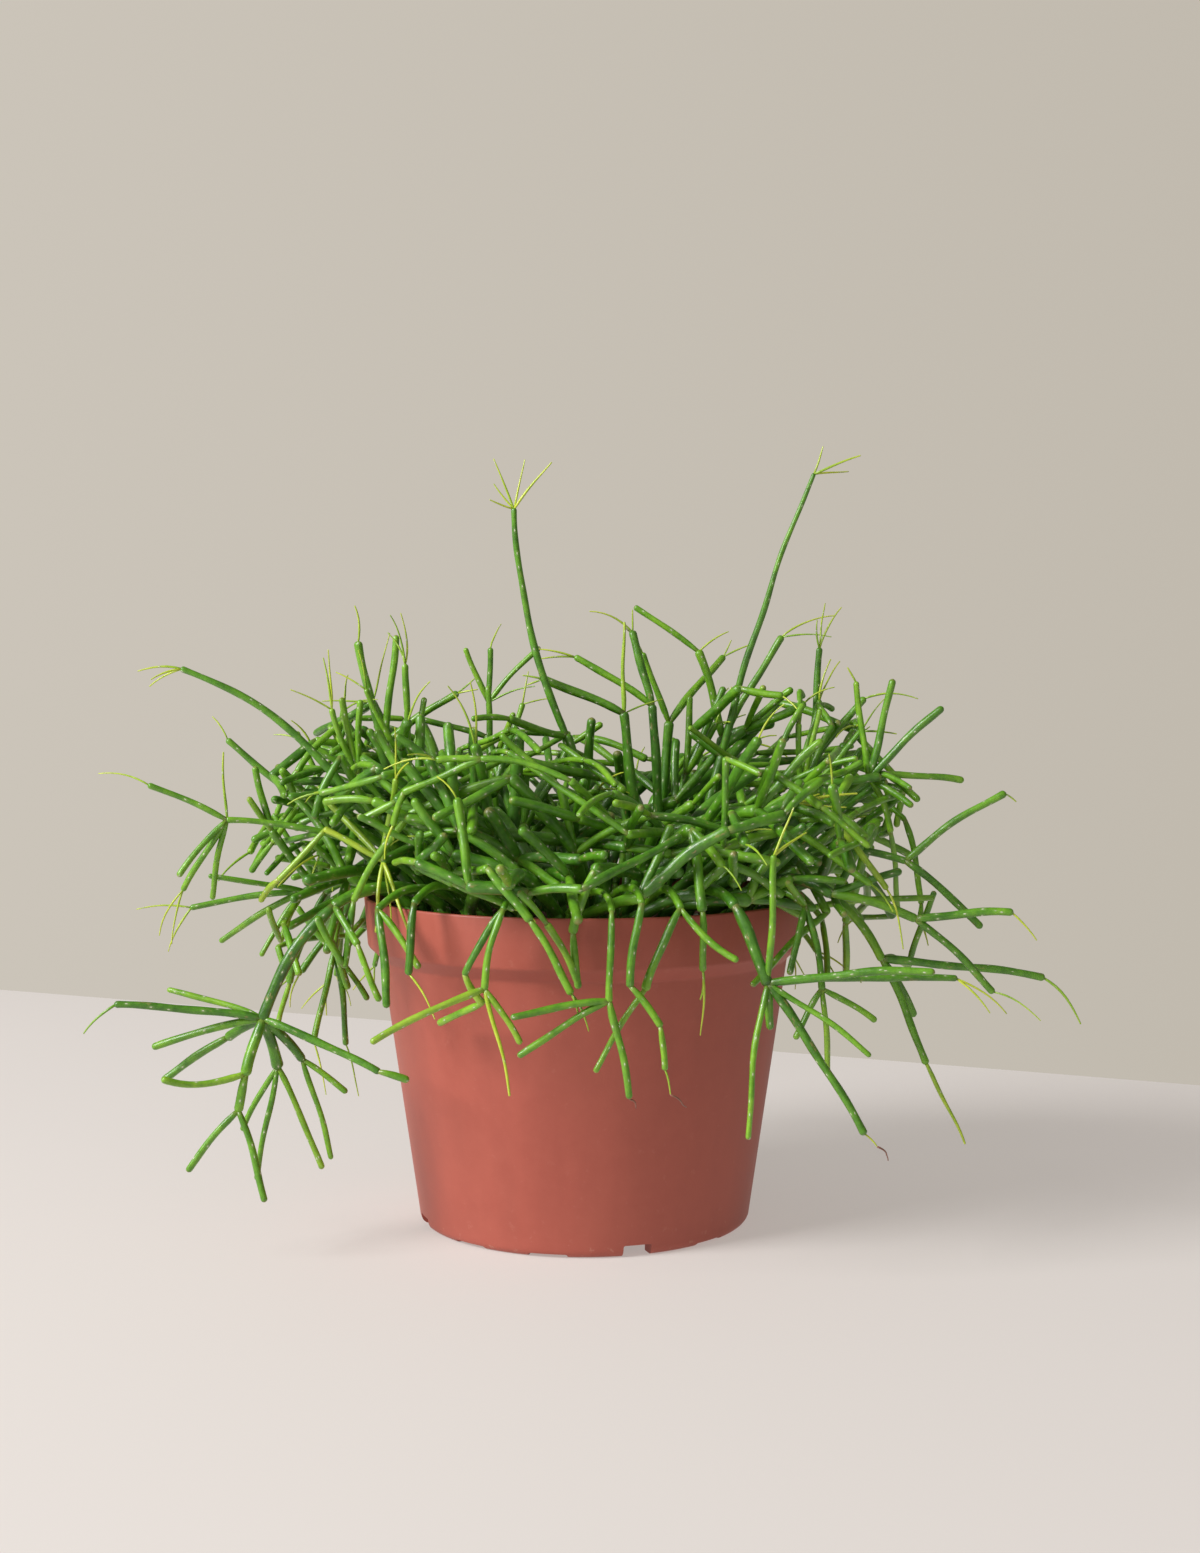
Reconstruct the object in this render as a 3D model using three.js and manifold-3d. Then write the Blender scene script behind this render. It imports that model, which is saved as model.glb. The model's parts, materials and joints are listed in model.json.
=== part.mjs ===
// Potted mistletoe cactus: a nursery pot, its potting mix and the stems rooted in it.
// Millimetres, +Z up. The origin is the middle of the pot's foot, on the surface that it stands on.
import * as THREE from "three";
import { mergeVertices } from "three/addons/utils/BufferGeometryUtils.js";
import Module from "manifold-3d";

const wasm = await Module();
wasm.setup();

// Pot
const potHeight = 111;
const rimRadius = 75;
const collarHeight = 16.4;
const collarDraft = 1.2; // the collar's lower edge is this much narrower than the rim
const stepHeight = 4.3; // the slanted shoulder below the collar
const stepInset = 4.6;
const baseRadius = 56.5;
const baseRounding = 3;
const wallThickness = 1.6;
const floorThickness = 1.8;
const footHeight = 3; // the foot ring holds the floor panel this far off the table
const footWidth = 4;
const potSegments = 40;

// Openings round the foot ring
const footOpenings = 12;
const firstOpening = 198; // degrees, counted from +X towards +Y
const openingsPerDrain = 3; // every third opening is a drain
const notchHeight = 1.2;
const notchWidth = 13;
const drainHeight = 3.9;
const drainWidth = 9.6;
const drainHoleLength = 7; // the hole in the floor panel behind each drain

// Potting mix
const mixBelowRim = 5;
const fitGap = 0.3; // clearance between pieces that touch
const socketDepth = 8;

// Stems: radii from the oldest wood to the newest tips
const stemRadius = [2.1, 1.7, 1.3, 0.95, 0.6];
const stemSides = 4;
const finestSolid = 3; // finer shoots than this size keep their room but have no solid of their own
const stemGap = 0.8; // least air between two stems, and between a stem and the pot
const footRise = 3; // a stem leaves the mix upright for this far
const footSpacing = 7;
const footShift = 4; // degrees that a foot moves round the pot at a time to find its room
const lowestTip = 8; // no stem comes nearer to the table than this
const beadSpacing = 2;
const jointReach = 9; // limbs of one stem may touch this near to the joint that they share
const triesPerLimb = 120;
const wobblePerTry = 0.6; // degrees of extra turn and tilt allowed at each new try
const shortestShare = 0.5; // of a limb's length, at the last try
const archInset = 3; // an arch over the rim is highest this far inside the rim's edge
const archHeight = 13;
const jointOverlap = 0.8; // of its radius, that a branch starts inside the limb it leaves
const strongBend = 20; // degrees: a limb that bends more than this has a point at its middle

const mixTop = potHeight - mixBelowRim;
const mouthRadius = rimRadius - wallThickness;
const stepRadius = rimRadius - collarDraft - stepInset;
const degree = Math.PI / 180;

// ---------- solids ----------

// A closed three.js geometry as a manifold-3d solid.
function solidOf(geometry) {
  geometry.deleteAttribute("normal");
  geometry.deleteAttribute("uv");
  const merged = mergeVertices(geometry, 1e-4);
  const mesh = new wasm.Mesh({
    numProp: 3,
    vertProperties: new Float32Array(merged.attributes.position.array),
    triVerts: new Uint32Array(merged.index.array),
  });
  return new wasm.Manifold(mesh);
}

function geometryOf(solid) {
  const mesh = solid.getMesh();
  const geometry = new THREE.BufferGeometry();
  geometry.setAttribute("position", new THREE.BufferAttribute(mesh.vertProperties, 3));
  geometry.setIndex(new THREE.BufferAttribute(mesh.triVerts, 1));
  geometry.computeVertexNormals();
  return geometry;
}

// A profile of [radius, height] pairs turned about the Z axis.
function turned(profile) {
  const outline = profile.map(([radius, height]) => new THREE.Vector2(radius, height));
  return solidOf(new THREE.LatheGeometry(outline, potSegments).rotateX(Math.PI / 2));
}

// An upright round post.
function post(x, y, bottom, top, radius, sides) {
  const geometry = new THREE.CylinderGeometry(radius, radius, top - bottom, sides);
  return solidOf(geometry.rotateX(Math.PI / 2).translate(x, y, (bottom + top) / 2));
}

// A block that points away from the Z axis at an angle.
function radialBlock(angle, innerRadius, outerRadius, width, bottom, top) {
  const geometry = new THREE.BoxGeometry(outerRadius - innerRadius, width, top - bottom);
  geometry.translate((innerRadius + outerRadius) / 2, 0, (bottom + top) / 2);
  return solidOf(geometry.rotateZ(angle * degree));
}

// ---------- pot and mix ----------

const stepTop = potHeight - collarHeight;
const stepBottom = stepTop - stepHeight;
const wallSlope = (stepRadius - baseRadius) / (stepBottom - baseRounding);
const floorTop = footHeight + floorThickness;
const footRadius = baseRadius - baseRounding;

function potBody() {
  const rounding = [];
  for (const turn of [0, 30, 60, 90]) {
    const across = footRadius + baseRounding * Math.sin(turn * degree);
    rounding.push([across, baseRounding * (1 - Math.cos(turn * degree))]);
  }
  const innerFloorRadius = baseRadius - wallThickness + wallSlope * (floorTop - baseRounding);
  const collarBottom = rimRadius - collarDraft;
  return turned([
    [0, footHeight],
    [footRadius - footWidth, footHeight],
    [footRadius - footWidth, 0],
    ...rounding,
    [stepRadius, stepBottom],
    [collarBottom, stepTop],
    [rimRadius, potHeight],
    [mouthRadius, potHeight],
    [collarBottom - wallThickness, stepTop],
    [stepRadius - wallThickness, stepBottom],
    [innerFloorRadius, floorTop],
    [0, floorTop],
  ]);
}

function makePot() {
  let pot = potBody();
  for (let i = 0; i < footOpenings; i++) {
    const angle = firstOpening + (i * 360) / footOpenings;
    const outside = rimRadius;
    const inside = footRadius - footWidth - drainHoleLength;
    if (i % openingsPerDrain === 0) {
      const doorway = radialBlock(angle, inside, outside, drainWidth, -1, drainHeight);
      const floorHole = radialBlock(angle, inside, inside + drainHoleLength, drainWidth, -1, floorTop + 1);
      pot = pot.subtract(doorway).subtract(floorHole);
    } else {
      pot = pot.subtract(radialBlock(angle, inside, outside, notchWidth, -1, notchHeight));
    }
  }
  return pot;
}

function makeMix(feet) {
  const inset = wallThickness + fitGap;
  const mixBottom = floorTop + fitGap;
  const bottomRadius = baseRadius - inset + wallSlope * (mixBottom - baseRounding);
  const collarBottom = rimRadius - collarDraft - inset;
  const topRadius = collarBottom + (collarDraft * (mixTop - stepTop)) / collarHeight;
  let mix = turned([
    [0, mixBottom],
    [bottomRadius, mixBottom],
    [stepRadius - inset, stepBottom],
    [collarBottom, stepTop + fitGap],
    [topRadius, mixTop],
    [0, mixTop],
  ]);
  const socketRadius = stemRadius[0] + fitGap / Math.cos(Math.PI / stemSides);
  for (const foot of feet) {
    const bottom = mixTop - socketDepth - fitGap;
    mix = mix.subtract(post(foot.x, foot.y, bottom, mixTop + 1, socketRadius, stemSides));
  }
  return mix;
}

// ---------- growth ----------

let seed = 4127;

function random() {
  seed = (seed * 16807) % 2147483647;
  return seed / 2147483647;
}

function between(low, high) {
  return low + (high - low) * random();
}

// A limb grows for a length at a heading (degrees from +X towards +Y) and a climb above level;
// by its end the climb has changed by the bend. The size is an index into stemRadius.
function limb(length, heading, climb, bend, size, branches = []) {
  return { length, heading, climb, bend, size, branches };
}

// A first limb that arches over the rim and ends outside it: reach from the rim, rise above it.
function over(angle, reach, rise, size, branches = []) {
  return { over: true, angle, reach, rise, size, branches };
}

// Young shoots that open round one direction, as mistletoe cactus ends a limb.
function tips(count, length, heading, climb, spread, size = 4) {
  const shoots = [];
  for (let i = 0; i < count; i++) {
    const turn = ((i + 0.3) * 360 * degree) / count;
    const reach = length * (1 - 0.12 * (i % 3));
    shoots.push(
      limb(reach, heading + spread * Math.cos(turn), climb + spread * Math.sin(turn), -12, size),
    );
  }
  return shoots;
}

function direction(heading, climb) {
  const level = Math.cos(climb * degree);
  return new THREE.Vector3(
    level * Math.cos(heading * degree),
    level * Math.sin(heading * degree),
    Math.sin(climb * degree),
  );
}

// The start, control and end points of a limb that leaves a joint, turned and tilted a little.
function route(part, joint, turn, tilt, share) {
  if (part.over) {
    const angle = part.angle + turn;
    const top = direction(angle, 0).multiplyScalar(rimRadius - archInset);
    const end = direction(angle, 0).multiplyScalar(rimRadius + part.reach * share);
    top.z = potHeight + archHeight + (part.rise + Math.abs(tilt)) / 2;
    end.z = potHeight + part.rise + Math.max(tilt, 0) / 2;
    return [joint, top, end];
  }
  const heading = part.heading + turn;
  const climb = part.climb + tilt;
  const half = (part.length * share) / 2;
  const middle = joint.clone().addScaledVector(direction(heading, climb), half);
  const end = middle.clone().addScaledVector(direction(heading, climb + part.bend), half);
  return [joint, middle, end];
}

const beads = new Map(); // beads along every grown limb, in cubic cells
const cellSize = 8;

function cellKey(i, j, k) {
  return (i + 500) * 1000000 + (j + 500) * 1000 + (k + 500);
}

function addBead(point, radius, owner) {
  const key = cellKey(...point.toArray().map((value) => Math.floor(value / cellSize)));
  if (!beads.has(key)) beads.set(key, []);
  beads.get(key).push({ point, radius, owner });
}

function beadsNear(point) {
  const [i, j, k] = point.toArray().map((value) => Math.floor(value / cellSize));
  const found = [];
  for (let di = -1; di <= 1; di++) {
    for (let dj = -1; dj <= 1; dj++) {
      for (let dk = -1; dk <= 1; dk++) {
        found.push(...(beads.get(cellKey(i + di, j + dj, k + dk)) || []));
      }
    }
  }
  return found;
}

function pointsAlong([start, middle, end]) {
  const curve = new THREE.QuadraticBezierCurve3(start, middle, end);
  const span = start.distanceTo(middle) + middle.distanceTo(end);
  return curve.getPoints(Math.ceil(span / beadSpacing));
}

// Whether a bead keeps off the table, the pot and the mix.
function inOpenAir(point, radius) {
  const room = radius + stemGap;
  const across = Math.hypot(point.x, point.y);
  if (point.z < lowestTip + room) return false;
  if (point.z > potHeight + room || across > rimRadius + room) return true;
  return across < mouthRadius - room && point.z > mixTop + room;
}

function isClear(points, radius, owner, joint, first) {
  for (const point of points) {
    const near = point.distanceTo(joint) < jointReach;
    if (!(first && near) && !inOpenAir(point, radius)) return false;
    for (const bead of beadsNear(point)) {
      const same = bead.owner === owner;
      if (same && (near || bead.point.distanceTo(joint) < jointReach)) continue;
      if (bead.point.distanceTo(point) < radius + bead.radius + stemGap) return false;
    }
  }
  return true;
}

// Grows a limb and its branches from a joint; a twig that finds no room does not grow.
// The first branch of a limb carries on its line, and every other branch starts a line of its own.
function grow(part, joint, owner, first, lines, parentLine) {
  const radius = stemRadius[part.size];
  for (let attempt = 0; attempt < triesPerLimb; attempt++) {
    const looseness = attempt * wobblePerTry;
    const turn = between(-looseness, looseness);
    const tilt = between(-looseness, looseness);
    const share = 1 - ((1 - shortestShare) * attempt) / triesPerLimb;
    const path = route(part, joint, turn, tilt, share);
    const points = pointsAlong(path);
    if (!isClear(points, radius, owner, joint, first)) continue;
    points.forEach((point) => addBead(point, radius, owner));
    let line = parentLine;
    if (part.size <= finestSolid) line = extend(lines, parentLine, path, part.size);
    for (const [index, branch] of part.branches.entries()) {
      grow(branch, path[2], owner, false, lines, index === 0 ? line : undefined);
    }
    return;
  }
}

// Adds a limb's points to a line of limbs, or to a new line that starts just inside the joint.
function extend(lines, line, [start, middle, end], size) {
  const curve = new THREE.QuadraticBezierCurve3(start, middle, end);
  const bend = middle.clone().sub(start).angleTo(end.clone().sub(middle)) / degree;
  const points = bend > strongBend ? [curve.getPoint(0.5), end] : [end];
  if (line) {
    line.points.push(...points);
    line.size = Math.max(line.size, size);
    return line;
  }
  const inset = start.clone().sub(middle).setLength(stemRadius[size] * jointOverlap);
  const added = { points: [start.clone().add(inset), ...points], size };
  lines.push(added);
  return added;
}

const feet = [];

// A stem's place in the mix, moved round until it has room; the air just above it is kept free.
function plant(name, angle, share) {
  const radius = share * (mouthRadius - stemRadius[0] - footSpacing / 2);
  let foot;
  let shift = 0;
  do {
    foot = direction(angle + shift, 0).multiplyScalar(radius);
    foot.z = mixTop + footRise;
    shift = shift > 0 ? -shift : footShift - shift;
  } while (feet.some((other) => other.distanceTo(foot) < footSpacing));
  feet.push(foot);
  addBead(foot, stemRadius[0], name);
  addBead(foot.clone().setZ(foot.z + 2 * stemRadius[0]), stemRadius[0], name);
  return foot;
}

// A path that runs straight from point to point.
class JointedPath extends THREE.Curve {
  constructor(points) {
    super();
    this.points = points;
  }

  getPoint(share) {
    const place = share * (this.points.length - 1);
    const index = Math.min(Math.floor(place), this.points.length - 2);
    return this.points[index].clone().lerp(this.points[index + 1], place - index);
  }

  getUtoTmapping(share) {
    return share;
  }
}

// A closed tube along a line of limbs.
function tube({ points, size }) {
  const corners = [];
  for (let i = 0; i < stemSides; i++) {
    const turn = (i * 2 * Math.PI) / stemSides;
    corners.push(new THREE.Vector2(Math.cos(turn), Math.sin(turn)).multiplyScalar(stemRadius[size]));
  }
  const extrudePath = new JointedPath(points);
  const settings = { steps: points.length - 1, bevelEnabled: false, extrudePath };
  return solidOf(new THREE.ExtrudeGeometry(new THREE.Shape(corners), settings));
}

// ---------- the stems ----------
// Each entry: name, angle of its foot, its share of the way out to the wall, and its first limb.
// Headings: 0 is right, 90 is back, 180 is left and 270 is front.

const outerShoots = [
  ["tall_shoot_left", 300, 0.24,
    limb(58, 180, 80, -8, 0, [limb(79, 182, 66, 22, 1, [
      limb(18, 180, 70, -4, 3), limb(17, 20, 74, 6, 4), limb(20, 350, 52, -4, 3),
      limb(11, 170, 46, 10, 4), limb(9, 200, 12, 14, 4)])])],
  ["tall_shoot_right", 10, 0.54,
    limb(50, 20, 78, -4, 0, [limb(102, 350, 77, -10, 1, [
      limb(10, 0, 68, 8, 3), limb(17, 350, 24, -6, 3), limb(14, 25, 8, -4, 4)])])],
  ["arching_shoot_left", 200, 0.76,
    limb(46, 196, 60, -18, 0, [limb(74, 184, 56, -36, 1, [
      limb(15, 182, 12, -30, 3), limb(13, 170, -14, -26, 4), limb(11, 200, -6, -26, 4)])])],
  ["left_whorl", 207, 0.8,
    limb(30, 200, 60, -36, 1, [limb(50, 192, 26, -26, 2, [
      limb(27, 190, 28, -6, 2), limb(24, 202, -42, -12, 2), limb(28, 176, -50, -10, 2),
      limb(27, 150, -72, -8, 2), limb(22, 160, 84, 6, 3)])])],
  ["left_trailing_spray", 211, 0.82,
    over(211, 18, 1, 0, [limb(44, 196, -40, -34, 0, [
      limb(46, 188, 12, -10, 1, [limb(14, 186, -30, -24, 3)]),
      limb(42, 176, 2, -14, 1),
      limb(19, 160, -14, -8, 1, [limb(27, 172, -30, -8, 1)]),
      limb(34, 166, 20, -12, 2),
      limb(18, 232, -62, -8, 0, [
        limb(28, 200, -20, 40, 2),
        limb(12, 180, -76, -4, 1, [limb(25, 188, -44, -12, 2), limb(30, 340, -68, -8, 2)])]),
      limb(18, 60, -62, -8, 0, [
        limb(24, 180, -56, -10, 2), limb(38, 200, -76, -2, 2), limb(36, 352, -62, -8, 2)]),
      limb(20, 30, -46, -12, 1, [limb(36, 10, -80, -4, 2), limb(18, 0, -34, -6, 2)]),
      limb(42, 345, -16, -10, 1, [limb(10, 0, -14, -4, 1)])])])],
  ["left_trailing_pair", 200, 0.74,
    over(203, 15, 0, 1, [limb(36, 230, -66, -18, 1, [
      limb(14, 180, -80, -2, 3), limb(25, 350, -32, -10, 1),
      limb(36, 330, -66, -14, 1, [limb(19, 350, -70, -12, 4)]),
      limb(36, 250, -80, -4, 2, [limb(19, 330, -68, -12, 4)])])])],
  ["left_low_spray", 188, 0.84,
    over(187, 20, 2, 1, [
      limb(38, 185, -4, -8, 1, [limb(19, 178, 8, -20, 4), limb(17, 190, -50, -24, 4)]),
      limb(38, 172, -16, -12, 1), limb(33, 202, 14, -6, 2)])],
  ["left_low_fork", 195, 0.86,
    over(195, 17, 3, 1, [limb(26, 214, 58, -10, 1, [
      limb(22, 195, 72, 8, 2), limb(14, 208, 52, 6, 2)])])],
  ["left_drop", 177, 0.8,
    over(178, 14, 0, 1, [limb(34, 186, -58, -20, 1, [
      limb(14, 130, 50, 14, 2), limb(16, 200, -70, -8, 2)])])],
  ["right_trailing_spray", 338, 0.76,
    over(336, 14, 3, 0, [limb(26, 344, -42, -20, 1, [
      limb(52, 356, -2, -8, 1, [limb(20, 352, -34, -34, 3)]),
      limb(36, 340, -62, -8, 1, [limb(29, 350, -60, -8, 3)]),
      limb(25, 20, -58, -10, 1)])])],
  ["right_low_spray", 329, 0.82,
    over(328, 18, 5, 0, [limb(28, 346, -8, -14, 1, [
      limb(30, 350, 10, -10, 1, [limb(12, 350, -36, -24, 4)]), limb(35, 8, -38, -10, 1)])])],
  ["right_mid_spray", 340, 0.84,
    limb(36, 338, 56, -44, 1, [limb(26, 346, 4, -20, 1, [
      limb(39, 356, 42, -14, 1, [limb(5, 0, -20, -30, 4)]), limb(33, 350, -34, -14, 1)])])],
  ["front_right_whorl", 306, 0.74,
    over(302, 13, 4, 0, [limb(26, 322, -56, -12, 0, [
      limb(60, 10, 4, -8, 1, [limb(20, 0, -20, -30, 4), limb(15, 340, -34, -20, 4)]),
      limb(55, 354, 2, -12, 1),
      limb(38, 342, -28, -10, 2),
      limb(54, 352, -52, -10, 1, [limb(6, 0, -30, -30, 4)]),
      limb(48, 236, -66, -20, 2),
      limb(18, 250, -76, -6, 1),
      limb(39, 310, 84, 5, 2, [limb(16, 10, 64, 6, 3), limb(14, 30, 34, -10, 3)])])])],
  ["right_drop", 322, 0.84,
    over(321, 15, 2, 1, [limb(27, 312, -64, -20, 1, [
      limb(28, 0, -84, -4, 2), limb(18, 200, -54, -10, 2), limb(20, 0, -26, -10, 2)])])],
  ["front_drop_left", 250, 0.74,
    over(254, 12, 4, 1, [limb(25, 210, -66, -18, 1, [
      limb(33, 320, -68, -8, 3), limb(20, 350, -50, -12, 2), limb(38, 196, -16, -14, 2)])])],
  ["front_drop_middle", 264, 0.7,
    over(266, 15, 4, 1, [limb(27, 260, -76, -8, 1, [
      limb(30, 190, -4, -8, 2), limb(32, 184, -26, -10, 2), limb(30, 350, -76, -4, 1)])])],
  ["front_drop_right", 277, 0.74,
    over(276, 16, 5, 1, [limb(25, 222, -74, -10, 1, [
      limb(15, 350, -46, -12, 2, [limb(13, 330, -80, -6, 2, [limb(8, 0, -70, -16, 4)])])])])],
  ["front_fork_right", 291, 0.74,
    over(290, 12, 4, 1, [
      limb(30, 214, -42, -20, 1, [limb(31, 196, -50, -10, 2)]), limb(25, 330, -50, 26, 2)])],
  ["front_hook_left", 235, 0.78,
    over(232, 10, 4, 1, [limb(22, 250, -70, -16, 1, [limb(17, 330, -44, -20, 4)])])],
  ["front_drop_far_left", 224, 0.78,
    over(222, 12, 1, 1, [limb(32, 290, -60, -20, 1), limb(24, 330, -40, -16, 2)])],
  ["left_reach", 181, 0.88,
    limb(38, 181, 62, -50, 1, [limb(50, 184, 44, -4, 1), limb(44, 168, 58, -8, 2)])],
  ["right_crown_fork", 346, 0.78,
    limb(33, 350, 50, -8, 1, [limb(28, 0, 46, -8, 1, [
      limb(34, 350, 46, -4, 1), limb(32, 160, 80, 4, 2, [limb(6, 180, 60, 0, 4)]), limb(37, 0, 84, 4, 1)])])],
  ["right_crown_back", 15, 0.78,
    limb(52, 8, 62, -8, 0, [
      limb(31, 358, 56, -8, 1, [limb(20, 350, 20, -40, 4)]), limb(42, 30, 82, 4, 1)])],
  ["right_reach", 2, 0.82,
    limb(40, 0, 56, -24, 0, [limb(25, 4, 42, -6, 1, [limb(27, 356, 0, -10, 1)]), limb(20, 40, 12, -8, 2)])],
  ["right_upper_spray", 353, 0.86,
    limb(40, 355, 62, -34, 0, [
      limb(22, 352, 20, -8, 1), limb(38, 10, -10, -16, 1), limb(28, 336, 32, -8, 2)])],
  ["crown_fork_right", 26, 0.7,
    limb(55, 50, 82, -4, 0, [
      limb(32, 190, 78, -8, 1, [limb(28, 172, 38, -6, 2), limb(13, 0, 44, -20, 4)]),
      limb(42, 12, 62, -6, 1, [limb(22, 4, 44, -44, 4), limb(18, 350, 10, -20, 4)])])],
  ["crown_fork_centre", 43, 0.5,
    limb(60, 20, 86, -2, 0, [
      limb(40, 12, 68, -4, 1, [limb(12, 0, 28, -10, 4), limb(7, 30, 60, 0, 4)]),
      limb(26, 182, 66, 6, 2)])],
  ["crown_fork_left", 345, 0.3,
    limb(64, 200, 86, -4, 0, [
      limb(30, 186, 26, -6, 1, [limb(7, 180, 14, -8, 4), limb(6, 170, -20, 0, 4)]),
      limb(31, 80, 86, 4, 3), limb(15, 20, 24, -10, 4)])],
  ["crown_reach", 20, 0.42,
    limb(66, 190, 88, -2, 0, [
      limb(32, 168, 38, -12, 1, [limb(14, 180, 22, -20, 4), limb(15, 170, 4, -14, 4)]),
      limb(27, 140, 74, -6, 1, [limb(18, 182, 48, -44, 4), limb(8, 90, 84, 4, 4)])])],
  ["back_left_fork", 137, 0.62,
    limb(67, 180, 86, 2, 1, [
      limb(21, 182, 64, 6, 2), limb(19, 60, 84, 4, 2), limb(27, 0, 52, -10, 2), limb(19, 340, 28, -20, 3)])],
  ["left_fan", 171, 0.8,
    limb(56, 182, 74, -6, 0, [
      limb(36, 182, 72, 8, 1), limb(38, 20, 80, 6, 1),
      limb(32, 346, 36, -6, 1, [limb(8, 0, 40, 0, 4), limb(8, 340, 10, 0, 4)])])],
  ["left_crown", 188, 0.74,
    limb(42, 186, 64, -8, 0, [limb(34, 184, 64, 2, 1, [
      limb(20, 182, 70, 6, 4), limb(25, 0, 74, 4, 4), limb(18, 178, 6, -10, 4)])])],
  ["yellow_whorl", 291, 0.5,
    limb(34, 340, 48, -10, 0, [limb(32, 4, 24, -6, 0, [
      limb(24, 4, 12, -6, 3), limb(20, 345, 2, -6, 3),
      limb(12, 30, -14, -6, 3), limb(16, 310, 20, -8, 3)])])],
  ["drooping_triple", 222, 0.3,
    limb(40, 205, 62, -44, 0, [limb(30, 214, -4, -20, 1, [
      limb(24, 260, -60, -16, 3), limb(22, 300, -66, -14, 3), limb(30, 318, -42, -16, 3)])])],
];

const firstBackDrop = 38; // degrees
const backDropSpacing = 20;
const backDrops = 7;

// Hanging sprays over the back of the rim.
function backSprays() {
  const sprays = [];
  for (let i = 0; i < backDrops; i++) {
    const angle = firstBackDrop + i * backDropSpacing;
    const hang = limb(between(16, 24), angle + between(-20, 20), between(-62, -40), -16, 1, [
      limb(between(20, 30), angle + between(40, 70), between(-60, -10), -10, 1),
      limb(between(20, 30), angle - between(40, 70), between(-70, -10), -10, 2),
      limb(between(16, 26), angle, between(-80, -60), -6, 2, tips(2, 14, angle, -60, 26)),
    ]);
    const reach = 10 + 2 * (i % 2);
    sprays.push([`back_drop_${i + 1}`, angle, 0.78, over(angle, reach, 3, 1, [hang])]);
  }
  return sprays;
}

const cushionStems = 17;
const goldenTurn = 137.5;

// The short thick stems that fill the middle of the plant.
function cushion() {
  const stems = [];
  for (let i = 0; i < cushionStems; i++) {
    const angle = i * goldenTurn;
    const share = 0.12 + 0.74 * Math.sqrt((i + 0.5) / cushionStems);
    const heading = angle + between(-45, 45);
    const branches = [];
    for (let j = 0; j < 2; j++) {
      const turn = heading + (j - 0.5) * 110 + between(-25, 25);
      const ends = [limb(between(14, 22), turn + between(-50, 50), between(-10, 60), -6, 1)];
      branches.push(limb(between(20, 28), turn, between(0, 50), -6, 0, ends));
    }
    const first = limb(between(24, 32), heading, 78 - 40 * share, -16, 0, branches);
    stems.push([`cushion_stem_${i + 1}`, angle, share, first]);
  }
  return stems;
}

// ---------- assembly ----------

const terracottaPlastic = { color: 0xa85c49, roughness: 0.62, metalness: 0 };
const peatMix = { color: 0x4a3a30, roughness: 0.95, metalness: 0 };
const greenStem = { color: 0x3f7a28, roughness: 0.5, metalness: 0 };

const cactus = new THREE.Group();

function addPiece(name, solid, finish) {
  const piece = new THREE.Mesh(geometryOf(solid), new THREE.MeshStandardMaterial(finish));
  piece.name = name;
  cactus.add(piece);
}

const stems = [...outerShoots, ...backSprays(), ...cushion()];
stems.forEach(([name, angle, share]) => plant(name, angle, share));
for (const [index, [name, , , first]] of stems.entries()) {
  const foot = feet[index];
  const lines = [];
  grow(first, foot, name, true, lines);
  let stem = post(foot.x, foot.y, mixTop - socketDepth, foot.z, stemRadius[0], stemSides);
  for (const line of lines) stem = stem.add(tube(line));
  addPiece(name, stem, greenStem);
}
addPiece("potting_mix", makeMix(feet), peatMix);
addPiece("pot", makePot(), terracottaPlastic);

export default cactus;
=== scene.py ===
# Potted mistletoe cactus in a terracotta-coloured nursery pot.
import json
import math
import random
import bpy
import numpy as np
from mathutils import Euler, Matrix, Vector, noise as hum

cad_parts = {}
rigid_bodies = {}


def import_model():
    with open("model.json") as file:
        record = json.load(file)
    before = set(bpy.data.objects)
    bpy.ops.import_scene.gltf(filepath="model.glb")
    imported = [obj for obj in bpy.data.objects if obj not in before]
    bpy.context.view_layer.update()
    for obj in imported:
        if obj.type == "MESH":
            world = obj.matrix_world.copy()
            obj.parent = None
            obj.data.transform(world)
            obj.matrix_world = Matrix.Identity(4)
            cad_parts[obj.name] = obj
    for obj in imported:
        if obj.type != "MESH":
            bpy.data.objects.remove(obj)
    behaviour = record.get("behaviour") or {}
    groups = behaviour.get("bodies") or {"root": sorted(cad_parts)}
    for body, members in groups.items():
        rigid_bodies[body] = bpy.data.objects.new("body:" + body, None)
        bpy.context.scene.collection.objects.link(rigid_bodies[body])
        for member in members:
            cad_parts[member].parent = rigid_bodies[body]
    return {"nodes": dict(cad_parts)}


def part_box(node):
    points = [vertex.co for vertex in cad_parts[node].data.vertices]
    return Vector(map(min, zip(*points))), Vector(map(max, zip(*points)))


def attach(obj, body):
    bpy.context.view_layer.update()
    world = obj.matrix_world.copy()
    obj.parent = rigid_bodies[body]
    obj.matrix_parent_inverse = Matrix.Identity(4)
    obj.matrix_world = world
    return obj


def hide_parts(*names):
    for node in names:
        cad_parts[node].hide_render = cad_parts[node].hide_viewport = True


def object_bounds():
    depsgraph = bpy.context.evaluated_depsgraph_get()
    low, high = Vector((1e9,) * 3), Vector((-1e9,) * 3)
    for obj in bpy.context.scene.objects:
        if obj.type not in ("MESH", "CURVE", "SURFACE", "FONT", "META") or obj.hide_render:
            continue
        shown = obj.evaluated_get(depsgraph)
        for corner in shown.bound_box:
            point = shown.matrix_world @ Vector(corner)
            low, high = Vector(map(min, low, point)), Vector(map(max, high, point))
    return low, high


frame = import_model()
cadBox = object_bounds()
mm = 0.001


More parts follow.
